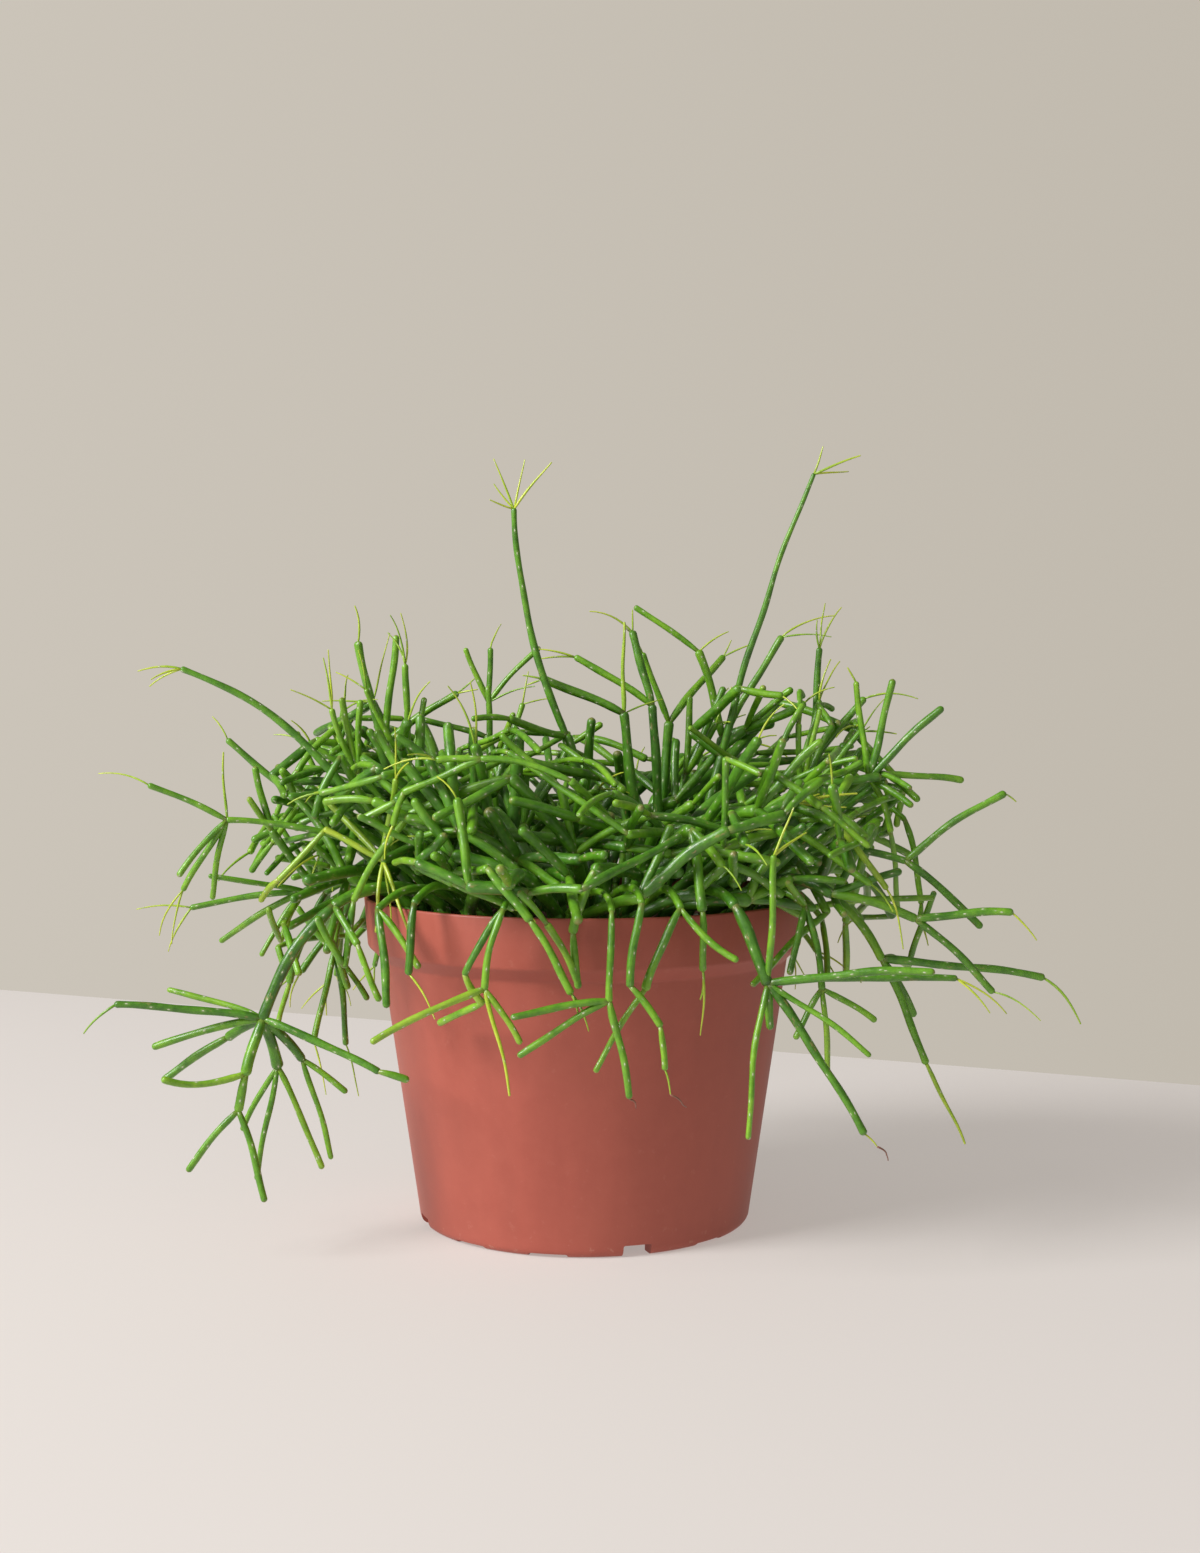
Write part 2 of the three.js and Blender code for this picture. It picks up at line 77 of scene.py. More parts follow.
def srgb(red, green, blue):
    # 0-255 screen values to the linear colour that a socket takes
    return tuple((c / 255 / 12.92) if c <= 10 else ((c / 255 + 0.055) / 1.055) ** 2.4
                 for c in (red, green, blue)) + (1,)


def deselectAll():
    if bpy.context.object and bpy.context.object.mode != "OBJECT":
        bpy.ops.object.mode_set(mode="OBJECT")
    bpy.ops.object.select_all(action="DESELECT")


def makeActive(piece):
    deselectAll()
    piece.select_set(True)
    bpy.context.view_layer.objects.active = piece


def finishPiece(piece, slot, *nodes):
    # the piece rides on the only body and stands for its CAD nodes
    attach(piece, "root")
    if nodes:
        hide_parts(*nodes)


# camera
camera = {
    "distance": 0.715,
    "height": 0.186,
    "aside": 0.0053,
    "down": 2.8,       # degrees below level
    "lens": 48.6,
}


def placeCamera():
    data = bpy.data.cameras.new("viewCamera")
    data.lens = camera["lens"]
    data.sensor_width = 36
    data.dof.use_dof = False
    eye = bpy.data.objects.new("viewCamera", data)
    eye.location = (camera["aside"], -camera["distance"], camera["height"])
    eye.rotation_euler = (math.radians(90 - camera["down"]), 0, 0)
    bpy.context.scene.collection.objects.link(eye)
    bpy.context.scene.camera = eye


placeCamera()
print("camera placed")

# floor, backdrop and light
studio = {
    "floorNear": 3.0,
    "floorSide": 3.2,
    "edgeLeft": 1.827,         # where the table's far edge meets its two sides
    "edgeRight": -1.120,
    "floorColour": srgb(174, 169, 166),
    "floorGlow": 0.36,         # the floor glows, a painted light that lifts its own shadows
    "floorGlowColour": srgb(255, 247, 241),
    "wallLeft": srgb(205, 198, 187),
    "wallRight": srgb(191, 184, 172),
    "airStrength": 0.43,      # of the wall's colour, as light on everything
    "lampAim": (0, 0, 0.1),
    "keyPlace": (-1.43, -0.82, 1.18),
    "keySize": 0.9,
    "keyPower": 46,
    "fillPlace": (0.4, -1.7, 1.2),
    "fillSize": 1.6,
    "fillPower": 2,
}


def buildStudio():
    deselectAll()
    bpy.ops.mesh.primitive_plane_add(size=1)
    floor = bpy.context.object
    floor.name = "floor"
    near = -studio["floorNear"]
    side = studio["floorSide"]
    corners = [(-side, near), (side, near), (-side, studio["edgeLeft"]), (side, studio["edgeRight"])]
    for vertex, (x, y) in zip(floor.data.vertices, corners):
        vertex.co = (x, y, 0)
    floor.data.materials.append(floorPaint())

    world = bpy.data.worlds.new("studioAir")
    world.use_nodes = True
    nodes = world.node_tree.nodes
    links = world.node_tree.links
    background = nodes["Background"]
    apart = nodes.new("ShaderNodeSeparateXYZ")
    links.new(nodes.new("ShaderNodeTexCoord").outputs["Generated"], apart.inputs["Vector"])
    across = maths(nodes, links, "MULTIPLY_ADD", apart.outputs["X"], 1.3)
    across.node.inputs[2].default_value = 0.5
    wall = ramp(nodes, links, across, [(0.0, studio["wallLeft"]), (1.0, studio["wallRight"])])
    links.new(wall, background.inputs["Color"])
    seen = nodes.new("ShaderNodeLightPath").outputs["Is Camera Ray"]
    dim = maths(nodes, links, "MULTIPLY_ADD", seen, 1 - studio["airStrength"])
    dim.node.inputs[2].default_value = studio["airStrength"]
    links.new(dim, background.inputs["Strength"])
    bpy.context.scene.world = world

    for name in ("key", "fill"):
        data = bpy.data.lights.new(name + "Light", "AREA")
        data.shape = "DISK"
        data.size = studio[name + "Size"]
        data.energy = studio[name + "Power"]
        lamp = bpy.data.objects.new(name + "Light", data)
        lamp.location = studio[name + "Place"]
        aim = Vector(studio["lampAim"]) - lamp.location
        lamp.rotation_euler = aim.to_track_quat("-Z", "Y").to_euler()
        bpy.context.scene.collection.objects.link(lamp)
    bpy.context.scene.view_settings.view_transform = "Standard"


# material helpers
def newMaterial(name):
    material = bpy.data.materials.new(name)
    material.use_nodes = True
    nodes = material.node_tree.nodes
    return material, nodes, material.node_tree.links, nodes["Principled BSDF"]


def noise(nodes, links, coords, scale, detail=3.0, roughness=0.5):
    node = nodes.new("ShaderNodeTexNoise")
    node.inputs["Scale"].default_value = scale
    node.inputs["Detail"].default_value = detail
    node.inputs["Roughness"].default_value = roughness
    links.new(coords, node.inputs["Vector"])
    return node.outputs["Fac"]


def ramp(nodes, links, value, stops):
    node = nodes.new("ShaderNodeValToRGB")
    elements = node.color_ramp.elements
    while len(elements) < len(stops):
        elements.new(0.5)
    for element, (place, colour) in zip(elements, stops):
        element.position = place
        element.color = colour
    links.new(value, node.inputs["Fac"])
    return node.outputs["Color"]


def mixColours(nodes, links, factor, first, second, blend="MIX"):
    node = nodes.new("ShaderNodeMix")
    node.data_type = "RGBA"
    node.blend_type = blend
    for value, socket in ((factor, 0), (first, 6), (second, 7)):
        if isinstance(value, (float, int, tuple)):
            node.inputs[socket].default_value = value
        else:
            links.new(value, node.inputs[socket])
    return node.outputs[2]


def maths(nodes, links, operation, first, second=0.0):
    node = nodes.new("ShaderNodeMath")
    node.operation = operation
    for socket, value in enumerate((first, second)):
        if isinstance(value, (float, int)):
            node.inputs[socket].default_value = value
        else:
            links.new(value, node.inputs[socket])
    return node.outputs[0]


def bump(nodes, links, height, strength, distance, shader):
    node = nodes.new("ShaderNodeBump")
    node.inputs["Strength"].default_value = strength
    node.inputs["Distance"].default_value = distance
    links.new(height, node.inputs["Height"])
    links.new(node.outputs["Normal"], shader.inputs["Normal"])


def floorPaint():
    material, nodes, links, shader = newMaterial("paleTable")
    coords = nodes.new("ShaderNodeTexCoord").outputs["Object"]
    cloud = noise(nodes, links, coords, 3, 2)
    base = studio["floorColour"]
    shade = tuple(c * 0.97 for c in base[:3]) + (1,)
    links.new(ramp(nodes, links, cloud, [(0.3, base), (0.7, shade)]), shader.inputs["Base Color"])
    shader.inputs["Roughness"].default_value = 0.8
    # painted light: the floor glows though it is no lamp, so its shadows stay pale
    shader.inputs["Emission Color"].default_value = studio["floorGlowColour"]
    shader.inputs["Emission Strength"].default_value = studio["floorGlow"]
    return material


buildStudio()
print("studio built")

# growth
# Lengths here are millimetres and angles degrees: heading 0 is right, 90 back, 180 left, 270 front.
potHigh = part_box("pot")[1]
mixLow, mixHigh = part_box("potting_mix")

growth = {
    "radii": [2.1, 1.7, 1.3, 0.95, 0.6],     # oldest to newest limbs
    "gap": 0.8,
    "footRise": 3,
    "footSpacing": 7,
    "footShift": 4,
    "lowestTip": 8,
    "beadSpacing": 2,
    "jointReach": 9,
    "tries": 120,
    "wobble": 0.6,
    "shortest": 0.5,
    "archInset": 3,
    "archHeight": 13,
    "wall": 1.6,
    "rim": round(potHigh.x / mm, 1),
    "potTop": round(potHigh.z / mm, 1),
    "mixTop": round(mixHigh.z / mm, 1),
    "seed": 4127,
}
mouth = growth["rim"] - growth["wall"]
dice = {"seed": growth["seed"]}


def between(low, high):
    dice["seed"] = dice["seed"] * 16807 % 2147483647
    return low + (high - low) * (dice["seed"] / 2147483647)


def limb(length, heading, climb, bend, size, branches=()):
    return {"length": length, "heading": heading, "climb": climb, "bend": bend,
            "size": size, "branches": branches}


def over(angle, reach, rise, size, branches=()):
    # arches over the rim and ends outside it
    return {"over": True, "angle": angle, "reach": reach, "rise": rise, "size": size,
            "heading": angle, "climb": 0, "branches": branches}


def tips(count, length, heading, climb, spread, size=4):
    shoots = []
    for i in range(count):
        turn = math.radians((i + 0.3) * 360 / count)
        reach = length * (1 - 0.12 * (i % 3))
        shoots.append(limb(reach, heading + spread * math.cos(turn),
                           climb + spread * math.sin(turn), -12, size))
    return shoots


def direction(heading, climb):
    level = math.cos(math.radians(climb))
    return (level * math.cos(math.radians(heading)), level * math.sin(math.radians(heading)),
            math.sin(math.radians(climb)))


def along(start, way, length):
    return tuple(a + b * length for a, b in zip(start, way))


def route(part, joint, turn, tilt, share):
    if "over" in part:
        way = direction(part["angle"] + turn, 0)
        top = along((0, 0, 0), way, growth["rim"] - growth["archInset"])
        end = along((0, 0, 0), way, growth["rim"] + part["reach"] * share)
        topHeight = growth["potTop"] + growth["archHeight"] + (part["rise"] + abs(tilt)) / 2
        endHeight = growth["potTop"] + part["rise"] + max(tilt, 0) / 2
        return joint, (top[0], top[1], topHeight), (end[0], end[1], endHeight)
    heading = part["heading"] + turn
    climb = part["climb"] + tilt
    half = part["length"] * share / 2
    middle = along(joint, direction(heading, climb), half)
    return joint, middle, along(middle, direction(heading, climb + part["bend"]), half)


def curvePoint(path, t):
    start, middle, end = path
    return tuple((1 - t) ** 2 * a + 2 * (1 - t) * t * b + t * t * c
                 for a, b, c in zip(start, middle, end))


# every limb is a row of beads, kept in cubes so that near ones are found fast
beads = {}
cell = 8


def addBead(point, radius, owner):
    i, j, k = (math.floor(c / cell) for c in point)
    bead = (point, radius, owner)
    for a in (i - 1, i, i + 1):
        for b in (j - 1, j, j + 1):
            for c in (k - 1, k, k + 1):
                beads.setdefault((a, b, c), []).append(bead)


def pointsAlong(path):
    span = math.dist(path[0], path[1]) + math.dist(path[1], path[2])
    count = math.ceil(span / growth["beadSpacing"])
    return [curvePoint(path, i / count) for i in range(count + 1)]


def inOpenAir(point, radius):
    room = radius + growth["gap"]
    across = math.hypot(point[0], point[1])
    if point[2] < growth["lowestTip"] + room:
        return False
    if point[2] > growth["potTop"] + room or across > growth["rim"] + room:
        return True
    return across < mouth - room and point[2] > growth["mixTop"] + room


def isClear(points, radius, owner, joint, first, gap):
    for point in points:
        near = math.dist(point, joint) < growth["jointReach"]
        if not (first and near) and not inOpenAir(point, radius):
            return False
        for other, otherRadius, otherOwner in beads.get(tuple(math.floor(c / cell) for c in point), ()):
            if otherOwner == owner and (near or math.dist(other, joint) < growth["jointReach"]):
                continue
            if math.dist(other, point) < radius + otherRadius + gap:
                return False
    return True


def grow(part, joint, owner, first, grown, parent=None,
         gap=growth["gap"], tries=growth["tries"], zone=None):
    # a limb turns and shortens a little more on each try, until it has room
    radius = growth["radii"][part["size"]]
    for attempt in range(tries):
        loose = attempt * growth["wobble"]
        turn = between(-loose, loose)
        tilt = between(-loose, loose)
        share = 1 - (1 - growth["shortest"]) * attempt / tries
        path = route(part, joint, turn, tilt, share)
        points = pointsAlong(path)
        if zone and not zone(path[2]):
            continue
        if not isClear(points, radius, owner, joint, first, gap):
            continue
        for point in points:
            addBead(point, radius, owner)
        record = {"path": path, "size": part["size"], "heading": part["heading"] + turn,
                  "climb": part["climb"] + tilt, "branches": len(part["branches"]),
                  "first": first, "parent": parent}
        grown.append(record)
        for branch in part["branches"]:
            grow(branch, path[2], owner, False, grown, record, gap, tries, zone)
        return record


feet = []


# the foot moves round the pot until it is clear of the others
def plant(name, angle, share, spacing=growth["footSpacing"]):
    radius = share * (mouth - growth["radii"][0] - growth["footSpacing"] / 2)
    shift = 0
    while abs(shift) < 180:
        foot = along((0, 0, 0), direction(angle + shift, 0), radius)
        foot = (foot[0], foot[1], growth["mixTop"] + growth["footRise"])
        shift = -shift if shift > 0 else growth["footShift"] - shift
        if all(math.dist(other, foot) >= spacing for other in feet):
            break
    feet.append(foot)
    addBead(foot, growth["radii"][0], name)
    addBead((foot[0], foot[1], foot[2] + 2 * growth["radii"][0]), growth["radii"][0], name)


outerShoots = [
    ["tall_shoot_left", 300, 0.24,
        limb(58, 180, 80, -8, 0, [limb(79, 182, 66, 22, 1, [
            limb(18, 180, 70, -4, 3), limb(17, 20, 74, 6, 4), limb(20, 350, 52, -4, 3),
            limb(11, 170, 46, 10, 4), limb(9, 200, 12, 14, 4)])])],
    ["tall_shoot_right", 10, 0.54,
        limb(50, 20, 78, -4, 0, [limb(102, 350, 77, -10, 1, [
            limb(10, 0, 68, 8, 3), limb(17, 350, 24, -6, 3), limb(14, 25, 8, -4, 4)])])],
    ["arching_shoot_left", 200, 0.76,
        limb(46, 196, 60, -18, 0, [limb(74, 184, 56, -36, 1, [
            limb(15, 182, 12, -30, 3), limb(13, 170, -14, -26, 4), limb(11, 200, -6, -26, 4)])])],
    ["left_whorl", 207, 0.8,
        limb(30, 200, 60, -36, 1, [limb(50, 192, 26, -26, 2, [
            limb(27, 190, 28, -6, 2), limb(24, 202, -42, -12, 2), limb(28, 176, -50, -10, 2),
            limb(27, 150, -72, -8, 2), limb(22, 160, 84, 6, 3)])])],
    ["left_trailing_spray", 211, 0.82,
        over(211, 18, 1, 0, [limb(44, 196, -40, -34, 0, [
            limb(46, 188, 12, -10, 1, [limb(14, 186, -30, -24, 3)]),
            limb(42, 176, 2, -14, 1),
            limb(19, 160, -14, -8, 1, [limb(27, 172, -30, -8, 1)]),
            limb(34, 166, 20, -12, 2),
            limb(18, 232, -62, -8, 0, [
                limb(28, 200, -20, 40, 2),
                limb(12, 180, -76, -4, 1, [limb(25, 188, -44, -12, 2), limb(30, 340, -68, -8, 2)])]),
            limb(18, 60, -62, -8, 0, [
                limb(24, 180, -56, -10, 2), limb(38, 200, -76, -2, 2), limb(36, 352, -62, -8, 2)]),
            limb(20, 30, -46, -12, 1, [limb(36, 10, -80, -4, 2), limb(18, 0, -34, -6, 2)]),
            limb(42, 345, -16, -10, 1, [limb(10, 0, -14, -4, 1)])])])],
    ["left_trailing_pair", 200, 0.74,
        over(203, 15, 0, 1, [limb(36, 230, -66, -18, 1, [
            limb(14, 180, -80, -2, 3), limb(25, 350, -32, -10, 1),
            limb(36, 330, -66, -14, 1, [limb(19, 350, -70, -12, 4)]),
            limb(36, 250, -80, -4, 2, [limb(19, 330, -68, -12, 4)])])])],
    ["left_low_spray", 188, 0.84,
        over(187, 20, 2, 1, [
            limb(38, 185, -4, -8, 1, [limb(19, 178, 8, -20, 4), limb(17, 190, -50, -24, 4)]),
            limb(38, 172, -16, -12, 1), limb(33, 202, 14, -6, 2)])],
    ["left_low_fork", 195, 0.86,
        over(195, 17, 3, 1, [limb(26, 214, 58, -10, 1, [
            limb(22, 195, 72, 8, 2), limb(14, 208, 52, 6, 2)])])],
    ["left_drop", 177, 0.8,
        over(178, 14, 0, 1, [limb(34, 186, -58, -20, 1, [
            limb(14, 130, 50, 14, 2), limb(16, 200, -70, -8, 2)])])],
    ["right_trailing_spray", 338, 0.76,
        over(336, 14, 3, 0, [limb(26, 344, -42, -20, 1, [
            limb(52, 356, -2, -8, 1, [limb(20, 352, -34, -34, 3)]),
            limb(36, 340, -62, -8, 1, [limb(29, 350, -60, -8, 3)]),
            limb(25, 20, -58, -10, 1)])])],
    ["right_low_spray", 329, 0.82,
        over(328, 18, 5, 0, [limb(28, 346, -8, -14, 1, [
            limb(30, 350, 10, -10, 1, [limb(12, 350, -36, -24, 4)]), limb(35, 8, -38, -10, 1)])])],
    ["right_mid_spray", 340, 0.84,
        limb(36, 338, 56, -44, 1, [limb(26, 346, 4, -20, 1, [
            limb(39, 356, 42, -14, 1, [limb(5, 0, -20, -30, 4)]), limb(33, 350, -34, -14, 1)])])],
    ["front_right_whorl", 306, 0.74,
        over(302, 13, 4, 0, [limb(26, 322, -56, -12, 0, [
            limb(60, 10, 4, -8, 1, [limb(20, 0, -20, -30, 4), limb(15, 340, -34, -20, 4)]),
            limb(55, 354, 2, -12, 1),
            limb(38, 342, -28, -10, 2),
            limb(54, 352, -52, -10, 1, [limb(6, 0, -30, -30, 4)]),
            limb(48, 236, -66, -20, 2),
            limb(18, 250, -76, -6, 1),
            limb(39, 310, 84, 5, 2, [limb(16, 10, 64, 6, 3), limb(14, 30, 34, -10, 3)])])])],
    ["right_drop", 322, 0.84,
        over(321, 15, 2, 1, [limb(27, 312, -64, -20, 1, [
            limb(28, 0, -84, -4, 2), limb(18, 200, -54, -10, 2), limb(20, 0, -26, -10, 2)])])],
    ["front_drop_left", 250, 0.74,
        over(254, 12, 4, 1, [limb(25, 210, -66, -18, 1, [
            limb(33, 320, -68, -8, 3), limb(20, 350, -50, -12, 2), limb(38, 196, -16, -14, 2)])])],
    ["front_drop_middle", 264, 0.7,
        over(266, 15, 4, 1, [limb(27, 260, -76, -8, 1, [
            limb(30, 190, -4, -8, 2), limb(32, 184, -26, -10, 2), limb(30, 350, -76, -4, 1)])])],
    ["front_drop_right", 277, 0.74,
        over(276, 16, 5, 1, [limb(25, 222, -74, -10, 1, [
            limb(15, 350, -46, -12, 2, [limb(13, 330, -80, -6, 2, [limb(8, 0, -70, -16, 4)])])])])],
    ["front_fork_right", 291, 0.74,
        over(290, 12, 4, 1, [
            limb(30, 214, -42, -20, 1, [limb(31, 196, -50, -10, 2)]), limb(25, 330, -50, 26, 2)])],
    ["front_hook_left", 235, 0.78,
        over(232, 10, 4, 1, [limb(22, 250, -70, -16, 1, [limb(17, 330, -44, -20, 4)])])],
    ["front_drop_far_left", 224, 0.78,
        over(222, 12, 1, 1, [limb(32, 290, -60, -20, 1), limb(24, 330, -40, -16, 2)])],
    ["left_reach", 181, 0.88,
        limb(38, 181, 62, -50, 1, [limb(50, 184, 44, -4, 1), limb(44, 168, 58, -8, 2)])],
    ["right_crown_fork", 346, 0.78,
        limb(33, 350, 50, -8, 1, [limb(28, 0, 46, -8, 1, [
            limb(34, 350, 46, -4, 1), limb(32, 160, 80, 4, 2, [limb(6, 180, 60, 0, 4)]),
            limb(37, 0, 84, 4, 1)])])],
    ["right_crown_back", 15, 0.78,
        limb(52, 8, 62, -8, 0, [
            limb(31, 358, 56, -8, 1, [limb(20, 350, 20, -40, 4)]), limb(42, 30, 82, 4, 1)])],
    ["right_reach", 2, 0.82,
        limb(40, 0, 56, -24, 0, [
            limb(25, 4, 42, -6, 1, [limb(27, 356, 0, -10, 1)]), limb(20, 40, 12, -8, 2)])],
    ["right_upper_spray", 353, 0.86,
        limb(40, 355, 62, -34, 0, [
            limb(22, 352, 20, -8, 1), limb(38, 10, -10, -16, 1), limb(28, 336, 32, -8, 2)])],
    ["crown_fork_right", 26, 0.7,
        limb(55, 50, 82, -4, 0, [
            limb(32, 190, 78, -8, 1, [limb(28, 172, 38, -6, 2), limb(13, 0, 44, -20, 4)]),
            limb(42, 12, 62, -6, 1, [limb(22, 4, 44, -44, 4), limb(18, 350, 10, -20, 4)])])],
    ["crown_fork_centre", 43, 0.5,
        limb(60, 20, 86, -2, 0, [
            limb(40, 12, 68, -4, 1, [limb(12, 0, 28, -10, 4), limb(7, 30, 60, 0, 4)]),
            limb(26, 182, 66, 6, 2)])],
    ["crown_fork_left", 345, 0.3,
        limb(64, 200, 86, -4, 0, [
            limb(30, 186, 26, -6, 1, [limb(7, 180, 14, -8, 4), limb(6, 170, -20, 0, 4)]),
            limb(31, 80, 86, 4, 3), limb(15, 20, 24, -10, 4)])],
    ["crown_reach", 20, 0.42,
        limb(66, 190, 88, -2, 0, [
            limb(32, 168, 38, -12, 1, [limb(14, 180, 22, -20, 4), limb(15, 170, 4, -14, 4)]),
            limb(27, 140, 74, -6, 1, [limb(18, 182, 48, -44, 4), limb(8, 90, 84, 4, 4)])])],
    ["back_left_fork", 137, 0.62,
        limb(67, 180, 86, 2, 1, [
            limb(21, 182, 64, 6, 2), limb(19, 60, 84, 4, 2), limb(27, 0, 52, -10, 2),
            limb(19, 340, 28, -20, 3)])],
    ["left_fan", 171, 0.8,
        limb(56, 182, 74, -6, 0, [
            limb(36, 182, 72, 8, 1), limb(38, 20, 80, 6, 1),
            limb(32, 346, 36, -6, 1, [limb(8, 0, 40, 0, 4), limb(8, 340, 10, 0, 4)])])],
    ["left_crown", 188, 0.74,
        limb(42, 186, 64, -8, 0, [limb(34, 184, 64, 2, 1, [
            limb(20, 182, 70, 6, 4), limb(25, 0, 74, 4, 4), limb(18, 178, 6, -10, 4)])])],
    ["yellow_whorl", 291, 0.5,
        limb(34, 340, 48, -10, 0, [limb(32, 4, 24, -6, 0, [
            limb(24, 4, 12, -6, 3), limb(20, 345, 2, -6, 3),
            limb(12, 30, -14, -6, 3), limb(16, 310, 20, -8, 3)])])],
    ["drooping_triple", 222, 0.3,
        limb(40, 205, 62, -44, 0, [limb(30, 214, -4, -20, 1, [
            limb(24, 260, -60, -16, 3), limb(22, 300, -66, -14, 3), limb(30, 318, -42, -16, 3)])])],
]

backDrops = {"first": 38, "spacing": 20, "count": 7}


def backSprays():
    sprays = []
    for i in range(backDrops["count"]):
        angle = backDrops["first"] + i * backDrops["spacing"]
        hang = limb(between(16, 24), angle + between(-20, 20), between(-62, -40), -16, 1, [
            limb(between(20, 30), angle + between(40, 70), between(-60, -10), -10, 1),
            limb(between(20, 30), angle - between(40, 70), between(-70, -10), -10, 2),
            limb(between(16, 26), angle, between(-80, -60), -6, 2, tips(2, 14, angle, -60, 26)),
        ])
        reach = 10 + 2 * (i % 2)
        sprays.append([f"back_drop_{i + 1}", angle, 0.78, over(angle, reach, 3, 1, [hang])])
    return sprays


cushionStems = 17
goldenTurn = 137.5


def cushion():
    made = []
    for i in range(cushionStems):
        angle = i * goldenTurn
        share = 0.12 + 0.74 * math.sqrt((i + 0.5) / cushionStems)
        heading = angle + between(-45, 45)
        branches = []
        for j in range(2):
            turn = heading + (j - 0.5) * 110 + between(-25, 25)
            ends = [limb(between(14, 22), turn + between(-50, 50), between(-10, 60), -6, 1)]
            branches.append(limb(between(20, 28), turn, between(0, 50), -6, 0, ends))
        first = limb(between(24, 32), heading, 78 - 40 * share, -16, 0, branches)
        made.append([f"cushion_stem_{i + 1}", angle, share, first])
    return made


stems = outerShoots + backSprays() + cushion()
for name, angle, share, _ in stems:
    plant(name, angle, share)
grownStems = {}
for index, (name, _, _, first) in enumerate(stems):
    grownStems[name] = []
    grow(first, feet[index], name, True, grownStems[name])
print("stems grown:", sum(len(limbs) for limbs in grownStems.values()), "limbs")


# shared mottling, one group for every finish
def mottleGroup():
    group = bpy.data.node_groups.new("softMottle", "ShaderNodeTree")
    group.interface.new_socket("Vector", in_out="INPUT", socket_type="NodeSocketVector")
    group.interface.new_socket("Dark", in_out="INPUT", socket_type="NodeSocketColor")
    group.interface.new_socket("Light", in_out="INPUT", socket_type="NodeSocketColor")
    for label, value in (("Scale", 50.0), ("Fine Scale", 400.0)):
        socket = group.interface.new_socket(label, in_out="INPUT", socket_type="NodeSocketFloat")
        socket.default_value = value
    group.interface.new_socket("Color", in_out="OUTPUT", socket_type="NodeSocketColor")
    group.interface.new_socket("Mask", in_out="OUTPUT", socket_type="NodeSocketFloat")
    nodes = group.nodes
    links = group.links
    given = nodes.new("NodeGroupInput").outputs
    result = nodes.new("NodeGroupOutput").inputs
    broad = noise(nodes, links, given["Vector"], 1, 2)
    fine = noise(nodes, links, given["Vector"], 1, 3, 0.6)
    links.new(given["Scale"], broad.node.inputs["Scale"])
    links.new(given["Fine Scale"], fine.node.inputs["Scale"])
    both = maths(nodes, links, "ADD", maths(nodes, links, "MULTIPLY", broad, 0.65),
                 maths(nodes, links, "MULTIPLY", fine, 0.35))
    mask = ramp(nodes, links, both, [(0.38, (0, 0, 0, 1)), (0.62, (1, 1, 1, 1))])
    links.new(mixColours(nodes, links, mask, given["Dark"], given["Light"]), result["Color"])
    links.new(mask, result["Mask"])
    return group


softMottle = mottleGroup()


def mottled(nodes, links, coords, dark, light, scale, fineScale):
    node = nodes.new("ShaderNodeGroup")
    node.node_tree = softMottle
    links.new(coords, node.inputs["Vector"])
    for label, value in (("Dark", dark), ("Light", light)):
        if isinstance(value, tuple):
            node.inputs[label].default_value = value
        else:
            links.new(value, node.inputs[label])
    node.inputs["Scale"].default_value = scale
    node.inputs["Fine Scale"].default_value = fineScale
    return node.outputs["Color"], node.outputs["Mask"]


# stems
stemLook = {
    "radii": [2.1, 1.6, 1.2, 0.95, 0.5],      # in the thick of the plant
    "outerRadii": [2.1, 1.42, 1.12, 0.9, 0.46],
    "finestTip": 0.55,         # radius of a short young tip
    "sides": [12, 10, 9, 8, 6],
    "ringSpacing": 2.3,
    "tones": [0.2, 0.34, 0.46, 0.64, 0.8],   # 0 oldest, 1 just grown
    "footDepth": 5,
    "wobble": 0.45,
    "ripple": 0.045,
    "dark": [(0.0, srgb(38, 82, 18)), (0.3, srgb(60, 114, 18)), (0.55, srgb(92, 150, 24)),
             (0.8, srgb(132, 172, 40)), (1.0, srgb(176, 198, 44))],
    "light": [(0.0, srgb(62, 116, 24)), (0.3, srgb(92, 152, 28)), (0.55, srgb(128, 182, 36)),
              (0.8, srgb(162, 196, 54)), (1.0, srgb(204, 216, 66))],
    "speck": srgb(214, 216, 190),
    "speckHalo": srgb(150, 176, 110),
    "speckPlaces": (0.26, 0.15, 1),      # per millimetre, round and along a limb
    "cork": srgb(168, 138, 92),
    "corkPlaces": (0.5, 0.2, 1),
    "wrinkles": (1.3, 0.16, 1),
    "dry": srgb(140, 92, 74),
    "dryMark": 2.0,            # the mark that dried threads carry
    "roughness": 0.34,
    "wax": 0.32,
    "waxRoughness": 0.22,
}


